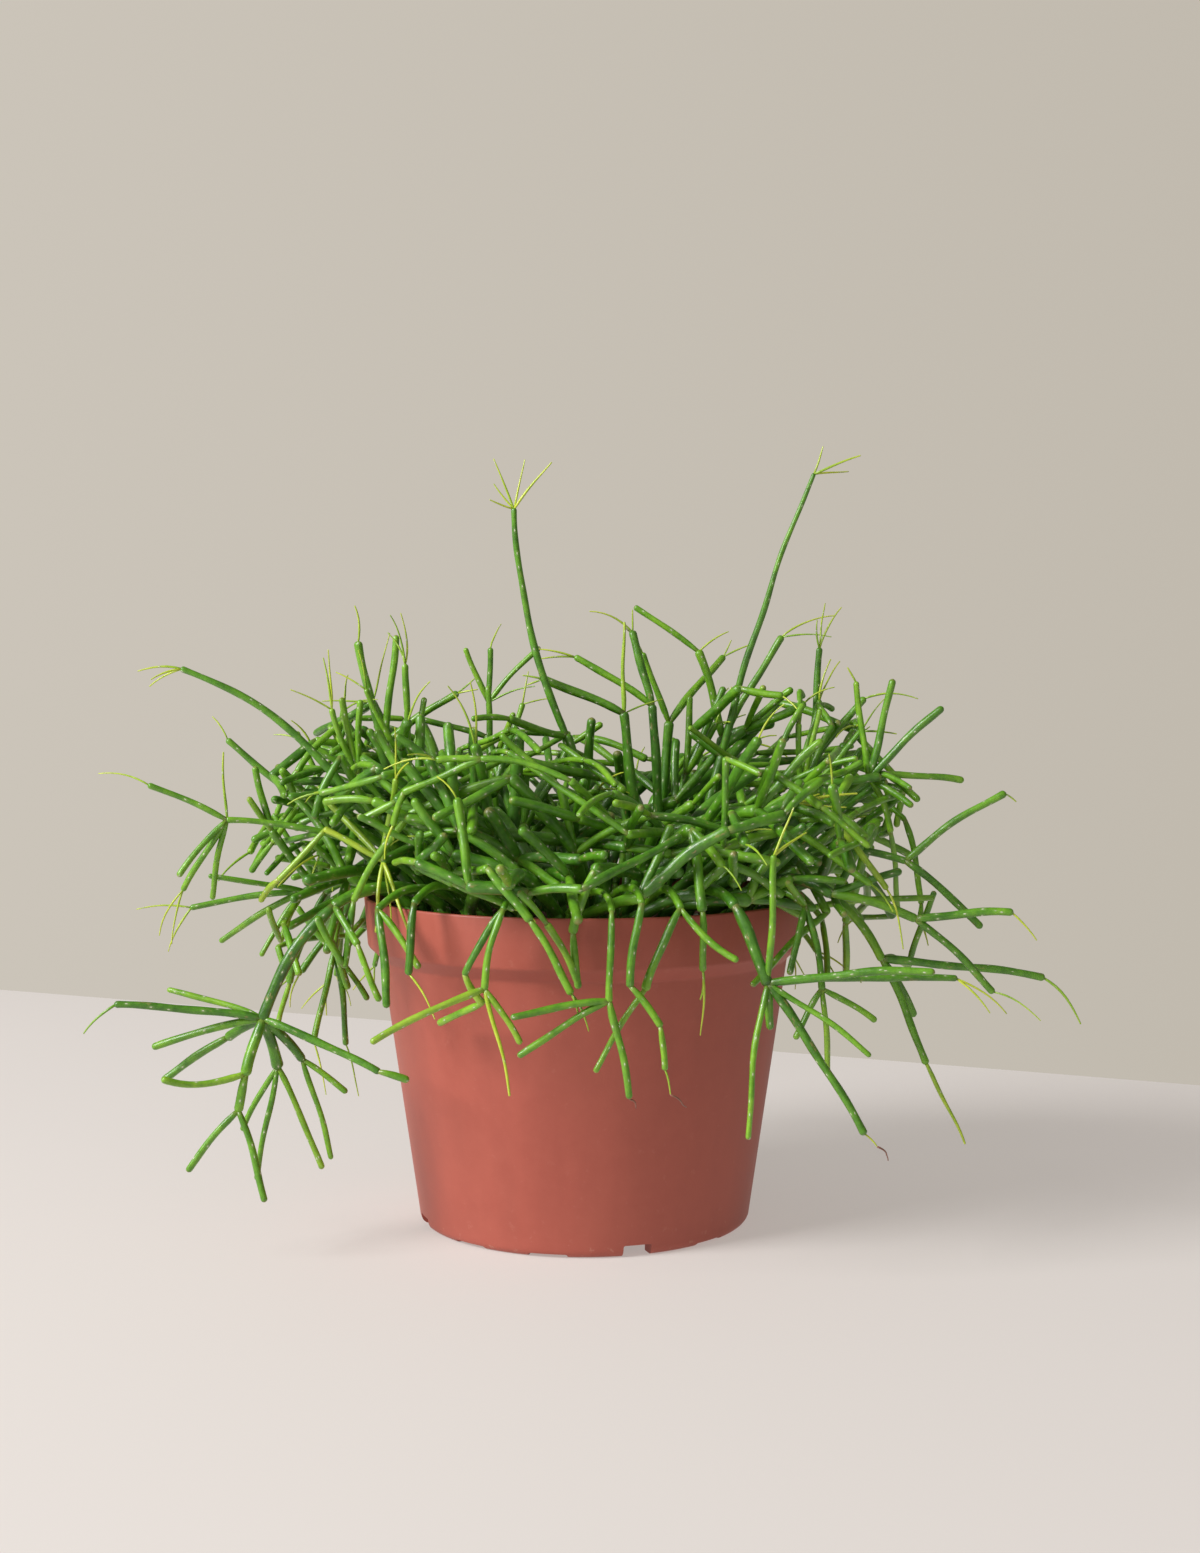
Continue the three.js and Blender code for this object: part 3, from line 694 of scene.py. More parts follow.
def limbPoints(path, spacing, extraEnd, draw):
    # evenly spaced points along the limb, with a slight natural waver
    dense = np.array([curvePoint(path, i / 24) for i in range(25)])
    steps = np.linalg.norm(np.diff(dense, axis=0), axis=1)
    run = np.concatenate([[0], np.cumsum(steps)])
    length = run[-1]
    count = max(4, int(round(length / spacing)))
    places = np.linspace(0, length + extraEnd, count + 1)
    points = np.stack([np.interp(places, run, dense[:, k]) for k in range(3)], axis=1)
    lastWay = (dense[-1] - dense[-2]) / steps[-1]
    past = np.clip(places - length, 0, None)
    points += past[:, None] * lastWay
    ways = np.gradient(points, axis=0)
    ways /= np.linalg.norm(ways, axis=1)[:, None]
    side = np.cross(ways, (0.3, 0.5, 0.81))
    side /= np.linalg.norm(side, axis=1)[:, None]
    lift = np.cross(ways, side)
    reach = stemLook["wobble"] * min(1, length / 30)
    sway = np.sin(np.pi * places / places[-1]) * reach
    phase = draw.uniform(0, 6.28)
    points += side * (sway * np.sin(places / 7 + phase))[:, None]
    points += lift * (sway * np.cos(places / 9 + phase * 1.7))[:, None]
    return points, places


def addTube(parts, points, places, radii, sides, tones, marks, draw):
    # rings of the given radii along the points, closed by a low cone at each end
    ways = np.gradient(points, axis=0)
    ways /= np.linalg.norm(ways, axis=1)[:, None]
    normal = np.cross(ways[0], (0.1, 0.2, 0.97))
    if np.linalg.norm(normal) < 0.1:
        normal = np.cross(ways[0], (1, 0, 0))
    angles = np.arange(sides) * 2 * np.pi / sides
    oval = 1 + 0.03 * np.sin(2 * angles + draw.uniform(0, 6.28))
    first = len(parts["vertices"])
    offset = draw.uniform(0, 300)
    shade = draw.uniform(0, 1)
    for point, way, radius, tone, mark in zip(points, ways, radii, tones, marks):
        normal = normal - way * np.dot(normal, way)
        normal /= np.linalg.norm(normal)
        across = np.cross(way, normal)
        ring = point + (np.outer(np.cos(angles), normal) + np.outer(np.sin(angles), across)) \
            * (radius * oval)[:, None]
        parts["vertices"].extend(map(tuple, ring * mm))
        parts["data"].extend([(tone, mark, shade, 1)] * sides)
    parts["vertices"].append(tuple((points[0] - ways[0] * radii[0] * 0.4) * mm))
    parts["vertices"].append(tuple((points[-1] + ways[-1] * radii[-1] * 0.4) * mm))
    parts["data"] += [(tones[0], marks[0], shade, 1), (tones[-1], marks[-1], shade, 1)]
    rings = len(points)
    start = first + rings * sides
    end = start + 1
    width = 2 * math.pi * float(np.max(radii))
    for i in range(rings - 1):
        for j in range(sides):
            k = (j + 1) % sides
            low = first + i * sides
            high = low + sides
            parts["faces"].append((low + j, low + k, high + k, high + j))
            u = width * j / sides + offset
            w = width * (j + 1) / sides + offset
            a = places[i] + offset
            b = places[i + 1] + offset
            parts["uv"].extend(((u, a), (w, a), (w, b), (u, b)))
    last = first + (rings - 1) * sides
    for j in range(sides):
        k = (j + 1) % sides
        parts["faces"].append((first + k, first + j, start))
        parts["faces"].append((last + j, last + k, end))
        u = width * j / sides + offset
        w = width * (j + 1) / sides + offset
        parts["uv"].extend(((w, offset), (u, offset), (u, offset)))
        parts["uv"].extend(((u, places[-1] + offset), (w, places[-1] + offset),
                            (u, places[-1] + offset)))


def addLimb(parts, record, outer, draw):
    size = record["size"]
    base = stemLook["outerRadii" if outer else "radii"][size]
    path = record["path"]
    length = math.dist(path[0], path[1]) + math.dist(path[1], path[2])
    forked = record["branches"] > 0
    young = size >= 3
    if size == 3 and length < 23:
        base = stemLook["finestTip"]
    base *= draw.uniform(0.86, 1.08)
    if record["parent"]:
        base = min(base, record["parent"]["endRadius"] * 1.08)
    taper = 0.42 if young else max(0.5, 1 - 0.006 * max(0, length - 20))
    record["endRadius"] = base * taper
    dome = base * taper
    points, places = limbPoints(path, stemLook["ringSpacing"], dome * (0.5 if forked else 0), draw)
    total = places[-1]
    # closer rings round off the far end
    inner = [total - dome * (1 - s) for s in (0, 0.4, 0.7, 0.9, 0.985)]
    kept = places[places < inner[0] - 0.6]
    every = np.concatenate([kept, inner])
    points = np.stack([np.interp(every, places, points[:, k]) for k in range(3)], axis=1)
    share = every / total
    radii = base * (1 + (taper - 1) * share)
    radii *= 1 + stemLook["ripple"] * np.sin(every / draw.uniform(2.2, 3.6) + draw.uniform(0, 6.28))
    radii *= 1 + 0.03 * np.sin(every / 6.5 + draw.uniform(0, 6.28))
    neck = np.clip(every / 4.5, 0, 1)
    radii *= 0.7 + 0.3 * neck * neck * (3 - 2 * neck) if not record["first"] else 1
    if forked:
        radii *= 1 + 0.08 * np.clip(1 - (total - every) / 3.5, 0, 1)
    roundOff = np.clip((every - inner[0]) / dome, 0, 1)
    radii *= np.sqrt(1 - roundOff ** 2 * 0.985)
    tone = stemLook["tones"][size] + draw.uniform(-0.1, 0.12) + record.get("fresh", 0)
    tones = np.clip(tone + (0.16 if young else 0.06) * share, 0, 1)
    marks = np.zeros(len(every))
    if not young and not forked and draw.random() < 0.45:
        marks = np.clip((every - total + base * 0.45) / (base * 0.4), 0, 1)
    if not record["first"] and not young:
        marks = np.maximum(marks, 0.7 * np.clip(1 - every / 1.2, 0, 1))     # dry ring at the joint
    addTube(parts, points, every, radii, stemLook["sides"][size], tones, marks, draw)
    if record["first"]:
        addFoot(parts, points, base, tones[0], draw)


def addFoot(parts, points, radius, tone, draw):
    # a short piece from the limb's low end down into the mix
    drop = points[0][2] - growth["mixTop"] + stemLook["footDepth"]
    line = [points[0] - np.array((0, 0, drop * share)) for share in (1, 0.7, 0.4, 0.15)]
    line.append(points[1])
    steps = np.linalg.norm(np.diff(line, axis=0), axis=1)
    places = np.concatenate([[0], np.cumsum(steps)])
    radii = radius * np.array((1.06, 1.02, 0.98, 0.97, 0.93))
    tones = np.full(5, tone)
    addTube(parts, np.array(line), places, radii, stemLook["sides"][0], tones, np.zeros(5), draw)


def addThread(parts, tip, heading, length, draw):
    # a dried thread left on a tip
    way = np.array(direction(heading, -30))
    points = [np.array(tip)]
    for i in range(9):
        way = way + np.array([draw.uniform(-0.35, 0.35) for _ in range(3)]) + np.array([0, 0, -0.12])
        way /= np.linalg.norm(way)
        points.append(points[-1] + way * length / 9)
    places = np.linspace(0, length, 10)
    radii = np.linspace(0.34, 0.16, 10)
    marks = np.full(10, stemLook["dryMark"])
    addTube(parts, np.array(points), places, radii, 5, np.full(10, 0.5), marks, draw)


def buildStem(name, limbs, threads, outer, material, draw):
    parts = {"vertices": [], "faces": [], "uv": [], "data": []}
    for record in limbs:
        addLimb(parts, record, outer, draw)
    for tip, heading, length in threads:
        addThread(parts, tip, heading, length, draw)
    mesh = bpy.data.meshes.new(name)
    mesh.from_pydata(parts["vertices"], [], parts["faces"])
    layer = mesh.uv_layers.new(name="limbRun")
    layer.data.foreach_set("uv", np.array(parts["uv"]).ravel())
    data = mesh.attributes.new("limbData", "FLOAT_COLOR", "POINT")
    data.data.foreach_set("color", np.array(parts["data"], dtype=float).ravel())
    mesh.polygons.foreach_set("use_smooth", [True] * len(mesh.polygons))
    mesh.materials.append(material)
    piece = bpy.data.objects.new(name, mesh)
    bpy.context.scene.collection.objects.link(piece)
    return piece


def stemFinish():
    material, nodes, links, shader = newMaterial("juicyStem")
    coords = nodes.new("ShaderNodeTexCoord").outputs["Object"]
    run = nodes.new("ShaderNodeUVMap")
    run.uv_map = "limbRun"
    uv = run.outputs["UV"]
    data = nodes.new("ShaderNodeVertexColor")
    data.layer_name = "limbData"
    split = nodes.new("ShaderNodeSeparateColor")
    links.new(data.outputs["Color"], split.inputs["Color"])
    tone = split.outputs["Red"]
    mark = split.outputs["Green"]
    shade = split.outputs["Blue"]

    drift = noise(nodes, links, coords, 38, 2)
    driftSmall = maths(nodes, links, "MULTIPLY", maths(nodes, links, "SUBTRACT", drift, 0.5), 0.36)
    shadeSmall = maths(nodes, links, "MULTIPLY", maths(nodes, links, "SUBTRACT", shade, 0.5), 0.12)
    shifted = maths(nodes, links, "ADD", tone, maths(nodes, links, "ADD", driftSmall, shadeSmall))
    dark = ramp(nodes, links, shifted, stemLook["dark"])
    light = ramp(nodes, links, shifted, stemLook["light"])
    skin, skinMask = mottled(nodes, links, coords, dark, light, 160, 700)

    # pale woolly specks, in rows along each limb
    place = nodes.new("ShaderNodeMapping")
    place.inputs["Scale"].default_value = stemLook["speckPlaces"]
    links.new(uv, place.inputs["Vector"])
    cells = nodes.new("ShaderNodeTexVoronoi")
    cells.voronoi_dimensions = "2D"
    cells.inputs["Scale"].default_value = 1
    cells.inputs["Randomness"].default_value = 0.75
    links.new(place.outputs["Vector"], cells.inputs["Vector"])
    speck = ramp(nodes, links, cells.outputs["Distance"],
                 [(0.04, (1, 1, 1, 1)), (0.075, (0, 0, 0, 1))])
    halo = ramp(nodes, links, cells.outputs["Distance"],
                [(0.09, (1, 1, 1, 1)), (0.2, (0, 0, 0, 1))])
    ringed = mixColours(nodes, links, maths(nodes, links, "MULTIPLY", halo, 0.3), skin,
                        stemLook["speckHalo"])
    specked = mixColours(nodes, links, maths(nodes, links, "MULTIPLY", speck, 0.85), ringed,
                         stemLook["speck"])

    # cork flecks on the old wood only
    flecks = nodes.new("ShaderNodeMapping")
    flecks.inputs["Scale"].default_value = stemLook["corkPlaces"]
    links.new(uv, flecks.inputs["Vector"])
    grain = noise(nodes, links, flecks.outputs["Vector"], 1, 4, 0.65)
    bark = ramp(nodes, links, grain, [(0.61, (0, 0, 0, 1)), (0.67, (1, 1, 1, 1))])
    old = ramp(nodes, links, tone, [(0.12, (1, 1, 1, 1)), (0.45, (0, 0, 0, 1))])
    corked = mixColours(nodes, links, maths(nodes, links, "MULTIPLY", bark,
                                            maths(nodes, links, "MULTIPLY", old, 0.8)),
                        specked, stemLook["cork"])
    scarred = mixColours(nodes, links, maths(nodes, links, "MULTIPLY",
                                             maths(nodes, links, "MINIMUM", mark, 1.0), 0.5),
                         corked, stemLook["cork"])
    isDry = maths(nodes, links, "GREATER_THAN", mark, stemLook["dryMark"] - 0.5)
    dried = mixColours(nodes, links, isDry, scarred, stemLook["dry"])
    links.new(dried, shader.inputs["Base Color"])

    shader.inputs["Coat Weight"].default_value = stemLook["wax"]
    shader.inputs["Coat Roughness"].default_value = stemLook["waxRoughness"]
    rough = maths(nodes, links, "ADD", stemLook["roughness"],
                  maths(nodes, links, "MULTIPLY", maths(nodes, links, "ADD", skinMask, bark), 0.07))
    links.new(rough, shader.inputs["Roughness"])
    lines = nodes.new("ShaderNodeMapping")
    lines.inputs["Scale"].default_value = stemLook["wrinkles"]
    links.new(uv, lines.inputs["Vector"])
    wrinkles = noise(nodes, links, lines.outputs["Vector"], 1, 3, 0.6)
    height = maths(nodes, links, "ADD", maths(nodes, links, "MULTIPLY", wrinkles, 0.7),
                   maths(nodes, links, "MULTIPLY", speck, 0.5))
    height = maths(nodes, links, "ADD", height, maths(nodes, links, "MULTIPLY", skinMask, 0.25))
    bump(nodes, links, height, 0.45, 0.0006, shader)
    return material


# the stems of the frame grow first; more limbs then fill the thicket round them
thicket = {
    "middle": 4,                # of the thicket, from left to right
    "reach": (118, 94),
    "bottom": 82,
    "core": 52,
    "ragged": 0.2,             # how uneven its outline is
    "crown": 160,
    "humps": [(-78, 40, 30), (72, 50, 28)],    # place, width and extra height of its two humps
    "fillStems": 60,
    "footSpacing": 4.8,
    "gap": -0.1,
    "tries": 60,
    "rounds": 3,
    "forkShare": 0.5,
    "tipShare": 0.2,
    "twigLength": (22, 48),
    "forkLength": (16, 34),
    "tipLength": (9, 22),
}
boxLow = [c / mm + 1.5 for c in cadBox[0]]
boxHigh = [c / mm - 1.5 for c in cadBox[1]]


def inThicket(point):
    if any(c < low or c > high for c, low, high in zip(point, boxLow, boxHigh)):
        return False
    x, y, z = point
    away = ((x - thicket["middle"]) / thicket["reach"][0]) ** 2 + (y / thicket["reach"][1]) ** 2
    ragged = thicket["ragged"] * math.sin(5 * math.atan2(y, x) + z / 9) * math.cos(z / 13)
    if away > 0.86 + ragged or z < thicket["bottom"] + 60 * ragged:
        return False
    away = min(away, 1)
    peak = thicket["crown"] + 60 * ragged
    for place, width, extra in thicket["humps"]:
        peak += extra * math.exp(-((x - place) / width) ** 2)
    return z < growth["potTop"] + (peak - growth["potTop"]) * (1 - away) ** 0.3


def inBox(point):
    return all(low < c < high for c, low, high in zip(point, boxLow, boxHigh))


def growExtra(part, record, owner, zone):
    return grow(part, record["path"][2], owner, False, grownStems[owner], record,
                thicket["gap"], thicket["tries"], zone)


def thicken(owner):
    # one more round of limbs on this stem
    for record in list(grownStems[owner]):
        end = record["path"][2]
        if record["size"] > 2 or not inThicket(end):
            continue
        if between(0, 1) > thicket["forkShare"]:
            continue
        fromAxis = math.hypot(end[0], end[1])
        outside = fromAxis > growth["rim"]
        loose = 180 if fromAxis < thicket["core"] else 80     # some lie back across the middle
        heading = record["heading"] + between(-loose, loose)
        climb = between(-55, 60) if outside else between(-5, 85)
        size = min(record["size"] + (1 if between(0, 1) > 0.5 else 0), 2)
        if outside:
            size = max(size, 1)
        twig = limb(between(*thicket["twigLength"]), heading, climb, between(-26, 12), size)
        made = growExtra(twig, record, owner, inThicket)
        if made:
            record["branches"] += 1
        if made and between(0, 1) < 0.5:
            fork = limb(between(*thicket["forkLength"]), heading + between(-60, 60),
                        climb + between(-40, 20), between(-24, 10), min(size + 1, 2))
            if growExtra(fork, made, owner, inThicket):
                made["branches"] += 1


def youngTips(owner):
    for record in list(grownStems[owner]):
        if record["branches"] or record["size"] > 2:
            continue
        if between(0, 1) > thicket["tipShare"]:
            continue
        for i in range(1 + int(between(0, 2.2))):
            tip = limb(between(*thicket["tipLength"]), record["heading"] + between(-45, 45),
                       record["climb"] + between(-20, 35), -34, 4)
            if growExtra(tip, record, owner, inBox):
                record["branches"] += 1


# five more shoots that stand up along the top, then the stems that fill the middle
crestShoots = [
    ["crestLeftOuter", 196, 0.62, limb(58, 192, 56, -6, 1, [
        limb(26, 178, 74, 8, 2), limb(24, 205, 60, 20, 2, tips(3, 20, 190, 70, 38)),
        limb(28, 120, 84, 4, 1)])],
    ["crestLeftMiddle", 176, 0.6, limb(50, 184, 70, -6, 1, [
        limb(34, 170, 86, 4, 1), limb(30, 200, 50, 20, 2, tips(2, 14, 190, 60, 30)),
        limb(24, 40, 70, 8, 2)])],
    ["crestLeftInner", 150, 0.5, limb(48, 168, 74, -4, 1, [
        limb(30, 150, 84, 4, 2), limb(26, 20, 60, 10, 2, tips(2, 12, 20, 50, 40))])],
    ["crestRightInner", 40, 0.5, limb(46, 20, 72, -6, 1, [
        limb(34, 10, 62, 8, 1), limb(28, 60, 80, 6, 2),
        limb(22, 330, 50, 14, 2, tips(2, 14, 340, 40, 40))])],
    ["crestRightOuter", 350, 0.6, limb(52, 350, 60, -8, 1, [
        limb(30, 340, 74, 6, 2), limb(30, 5, 40, 12, 1, tips(2, 14, 0, 30, 34)),
        limb(26, 20, 84, 2, 2)])],
]
for name, angle, share, first in crestShoots:
    plant(name, angle, share, thicket["footSpacing"])
    grownStems[name] = []
    grow(first, feet[-1], name, True, grownStems[name], None,
         thicket["gap"], growth["tries"], inBox)

fillNames = []
for i in range(thicket["fillStems"]):
    angle = i * goldenTurn + 60
    share = 0.1 + 0.84 * math.sqrt((i + 0.5) / thicket["fillStems"])
    name = f"thicketStem_{i + 1}"
    plant(name, angle, share, thicket["footSpacing"])
    fillNames.append(name)
firstFill = len(feet) - len(fillNames)
for i, name in enumerate(fillNames):
    heading = i * goldenTurn + 60 + between(-60, 60)
    share = math.hypot(*feet[firstFill + i][:2]) / mouth
    branches = []
    for j in range(2):
        turn = heading + (j - 0.5) * 120 + between(-30, 30)
        ends = [limb(between(22, 40), turn + between(-50, 50), between(-20, 60), -14, 1)]
        branches.append(limb(between(26, 42), turn, between(-5, 55), -16, int(between(0, 1.8)), ends))
    first = limb(between(22, 38), heading, 80 - 50 * share, -22, 0, branches)
    grownStems[name] = []
    grow(first, feet[firstFill + i], name, True, grownStems[name], None,
         thicket["gap"], thicket["tries"], inThicket)
for _ in range(thicket["rounds"]):
    for name in list(grownStems):
        thicken(name)
for name in list(grownStems):
    if not name.startswith(("front", "left_trailing", "right_trailing")):
        youngTips(name)
print("thicket grown:", sum(len(limbs) for limbs in grownStems.values()), "limbs")

# stems with yellow-green new growth: how much fresher, and from which limb size on
freshStems = {"yellow_whorl": (0.34, 2), "drooping_triple": (0.36, 2), "tall_shoot_left": (0.3, 3),
              "tall_shoot_right": (0.26, 3), "front_right_whorl": (0.34, 3),
              "front_drop_left": (0.12, 2), "right_trailing_spray": (0.12, 3),
              "arching_shoot_left": (0.2, 3)}
threadStems = {"front_drop_right": 9, "front_drop_middle": 5, "front_right_whorl": 7}
outerNames = {name for name in grownStems if not name.startswith(("cushion", "thicket"))}
skin = stemFinish()
for index, (name, limbs) in enumerate(grownStems.items()):
    if not limbs:
        continue
    draw = random.Random(900 + index)
    for record in limbs:
        if name in freshStems and record["size"] >= freshStems[name][1]:
            record["fresh"] = freshStems[name][0]
    threads = []
    if name in threadStems:
        lowest = min(limbs, key=lambda record: record["path"][2][2])
        threads.append((lowest["path"][2], lowest["heading"], threadStems[name]))
    piece = buildStem(name if name not in frame["nodes"] else name + "_limbs",
                      limbs, threads, name in outerNames, skin, draw)
    finishPiece(piece, "green_stem", *([name] if name in frame["nodes"] else []))
print("stems built")

# pot
potShape = {
    "collar": 16.4,
    "collarDraft": 1.2,
    "step": 4.3,
    "stepInset": 4.6,
    "base": 56.5,
    "baseRounding": 3,
    "floor": 1.8,
    "foot": 3,
    "footWidth": 4,
    "segments": 160,
    "openings": 12,
    "firstOpening": 198,
    "openingReach": 70,
    "perDrain": 3,              # every third opening is a drain
    "notch": (13, 1.2),        # width, height
    "drain": (9.6, 3.9),
    "drainHole": 7,
    "softEdge": 0.7,
    "lit": srgb(176, 89, 73),
    "deep": srgb(169, 82, 67),
    "dust": srgb(206, 160, 142),
    "scuff": srgb(222, 170, 150),
    "roughness": 0.46,
}


def arc(radius, height, size, start, end, steps):
    turns = [math.radians(start + (end - start) * i / steps) for i in range(steps + 1)]
    return [(radius + size * math.cos(t), height + size * math.sin(t)) for t in turns]


def spinOutline(name, outline, segments):
    # one vertex is drawn out along the outline, then spun round the axis
    deselectAll()
    bpy.ops.mesh.primitive_plane_add(size=0.001)
    piece = bpy.context.object
    piece.name = name
    bpy.ops.object.mode_set(mode="EDIT")
    bpy.ops.mesh.merge(type="CENTER")
    bpy.ops.transform.translate(value=(outline[0][0] * mm, 0, outline[0][1] * mm))
    for (r1, z1), (r2, z2) in zip(outline, outline[1:]):
        step = ((r2 - r1) * mm, 0, (z2 - z1) * mm)
        bpy.ops.mesh.extrude_region_move(TRANSFORM_OT_translate={"value": step})
    bpy.ops.mesh.select_all(action="SELECT")
    bpy.ops.mesh.spin(steps=segments, angle=2 * math.pi, center=(0, 0, 0), axis=(0, 0, 1))
    bpy.ops.mesh.select_all(action="SELECT")
    bpy.ops.mesh.remove_doubles(threshold=0.00002)
    bpy.ops.mesh.normals_make_consistent(inside=False)
    bpy.ops.mesh.select_all(action="DESELECT")
    bpy.ops.object.mode_set(mode="OBJECT")
    return piece


def selectRings(piece, rings):
    # edges that run round the piece at one of these radii and heights
    mesh = piece.data
    vertexRing = {}
    for vertex in mesh.vertices:
        for index, (radius, height) in enumerate(rings):
            off = math.hypot(math.hypot(vertex.co.x, vertex.co.y) / mm - radius,
                             vertex.co.z / mm - height)
            if off < 0.05:
                vertexRing[vertex.index] = index
    for edge in mesh.edges:
        a, b = edge.vertices
        edge.select = a in vertexRing and vertexRing.get(b) == vertexRing[a]


def potOutline():
    shape = potShape
    rim = growth["rim"]
    top = growth["potTop"]
    wall = growth["wall"]
    lower = rim - shape["collarDraft"]
    stepRadius = lower - shape["stepInset"]
    stepTop = top - shape["collar"]
    stepBottom = stepTop - shape["step"]
    foot = shape["base"] - shape["baseRounding"]
    slope = (stepRadius - shape["base"]) / (stepBottom - shape["baseRounding"])
    floorTop = shape["foot"] + shape["floor"]
    innerFloor = shape["base"] - wall + slope * (floorTop - shape["baseRounding"])
    inner = foot - shape["footWidth"]
    outline = [(0, shape["foot"]), (inner * 0.5, shape["foot"]), (inner, shape["foot"]), (inner, 0)]
    outline += arc(foot, shape["baseRounding"], shape["baseRounding"], -90, 0, 6)
    for share in (0.25, 0.5, 0.75):
        height = shape["baseRounding"] + share * (stepBottom - shape["baseRounding"])
        outline.append((shape["base"] + slope * (height - shape["baseRounding"]), height))
    outline += [(stepRadius, stepBottom), (lower, stepTop), (rim, top), (rim - wall, top),
                (lower - wall, stepTop), (stepRadius - wall, stepBottom),
                (innerFloor, floorTop), (innerFloor * 0.5, floorTop), (0, floorTop)]
    soft = [(stepRadius, stepBottom), (lower, stepTop), (rim, top), (rim - wall, top)]
    return outline, soft


def radialBlock(angle, inside, outside, width, low, high):
    bpy.ops.mesh.primitive_cube_add(size=1)
    block = bpy.context.object
    bpy.ops.object.mode_set(mode="EDIT")
    bpy.ops.transform.resize(value=((outside - inside) * mm, width * mm, (high - low) * mm))
    bpy.ops.mesh.bevel(offset=0.6 * mm, segments=3)
    bpy.ops.transform.translate(value=((outside + inside) / 2 * mm, 0, (high + low) / 2 * mm))
    bpy.ops.object.mode_set(mode="OBJECT")
    block.rotation_euler = (0, 0, math.radians(angle))
    bpy.ops.object.transform_apply(location=True, rotation=True, scale=True)
    return block


def cutOpenings(piece):
    shape = potShape
    foot = shape["base"] - shape["baseRounding"]
    inside = foot - shape["footWidth"] - shape["drainHole"]
    cutters = []
    for i in range(shape["openings"]):
        angle = shape["firstOpening"] + i * 360 / shape["openings"]
        deselectAll()
        if i % shape["perDrain"] == 0:
            width, height = shape["drain"]
            cutters.append(radialBlock(angle, inside, shape["openingReach"], width, -2, height))
            hole = inside + shape["drainHole"] - 0.5
            cutters.append(radialBlock(angle, inside - 0.4, hole, width - 0.7, -3, 8))
        else:
            width, height = shape["notch"]
            cutters.append(radialBlock(angle, inside, shape["openingReach"], width, -2, height))
    for cutter in cutters:
        makeActive(piece)
        cut = piece.modifiers.new("opening", "BOOLEAN")
        cut.operation = "DIFFERENCE"
        cut.solver = "EXACT"
        cut.object = cutter
        bpy.ops.object.modifier_apply(modifier=cut.name)
        bpy.data.objects.remove(cutter)


def potFinish():
    material, nodes, links, shader = newMaterial("terracottaPlastic")
    coords = nodes.new("ShaderNodeTexCoord").outputs["Object"]
    colour, mask = mottled(nodes, links, coords, potShape["deep"], potShape["lit"], 14, 160)
    # faint upright flow marks of the moulding
    stretch = nodes.new("ShaderNodeMapping")
    stretch.inputs["Scale"].default_value = (1, 1, 0.05)
    links.new(coords, stretch.inputs["Vector"])
    flow = noise(nodes, links, stretch.outputs["Vector"], 120, 2)
    streak = ramp(nodes, links, flow, [(0.3, (0.94, 0.94, 0.94, 1)), (0.7, (1, 1, 1, 1))])
    flowed = mixColours(nodes, links, 1.0, colour, streak, "MULTIPLY")
    # dust gathers near the table and light scuffs sit on the wall
    apart = nodes.new("ShaderNodeSeparateXYZ")
    links.new(coords, apart.inputs["Vector"])
    low = ramp(nodes, links, maths(nodes, links, "MULTIPLY", apart.outputs["Z"], 60.0),
               [(0.0, (1, 1, 1, 1)), (0.55, (0, 0, 0, 1))])
    scuffs = ramp(nodes, links, noise(nodes, links, coords, 330, 4, 0.7),
                  [(0.62, (0, 0, 0, 1)), (0.7, (1, 1, 1, 1))])
    dust = maths(nodes, links, "MULTIPLY", maths(nodes, links, "MULTIPLY", low, scuffs), 0.35)
    dusty = mixColours(nodes, links, dust, flowed, potShape["dust"])
    worn = mixColours(nodes, links, maths(nodes, links, "MULTIPLY", scuffs, 0.06), dusty,
                      potShape["scuff"])
    links.new(worn, shader.inputs["Base Color"])
    rough = maths(nodes, links, "ADD", potShape["roughness"],
                  maths(nodes, links, "MULTIPLY", maths(nodes, links, "ADD", mask, scuffs), 0.07))
    links.new(rough, shader.inputs["Roughness"])
    fine = noise(nodes, links, coords, 1500, 3, 0.6)
    height = maths(nodes, links, "ADD", maths(nodes, links, "MULTIPLY", flow, 0.5), fine)
    bump(nodes, links, height, 0.16, 0.0002, shader)
    return material


def buildPot():
    outline, soft = potOutline()
    piece = spinOutline("nurseryPot", outline, potShape["segments"])
    selectRings(piece, soft)
    makeActive(piece)
    bpy.ops.object.mode_set(mode="EDIT")
    bpy.ops.mesh.bevel(offset=potShape["softEdge"] * mm, segments=4)
    bpy.ops.object.mode_set(mode="OBJECT")
    cutOpenings(piece)
    makeActive(piece)
    bpy.ops.object.shade_smooth_by_angle(angle=math.radians(32))
    piece.data.materials.clear()
    piece.data.materials.append(potFinish())
    finishPiece(piece, "pot_plastic", "pot")
    return piece


buildPot()
print("pot built")

# potting mix
mixShape = {
    "rings": 22,
    "segments": 128,
    "clearance": 0.3,
    "settled": 1.6,             # below its CAD top
    "swell": 1.3,
    "swellScale": 0.09,
    "grit": 0.8,
    "gritScale": 0.35,
    "crumbs": 520,
    "crumbSize": (1.1, 3.2),
    "perlite": 0.09,
    "peat": srgb(72, 52, 44),
    "peatLight": srgb(112, 84, 72),
    "bark": srgb(142, 106, 88),
    "perliteColour": srgb(214, 208, 198),
}


def mixHeight(x, y):
    swellAt = Vector((x * mixShape["swellScale"], y * mixShape["swellScale"], 3))
    gritAt = Vector((x * mixShape["gritScale"], y * mixShape["gritScale"], 8))
    return growth["mixTop"] - mixShape["settled"] + mixShape["swell"] * hum.noise(swellAt) \
        + mixShape["grit"] * hum.noise(gritAt)


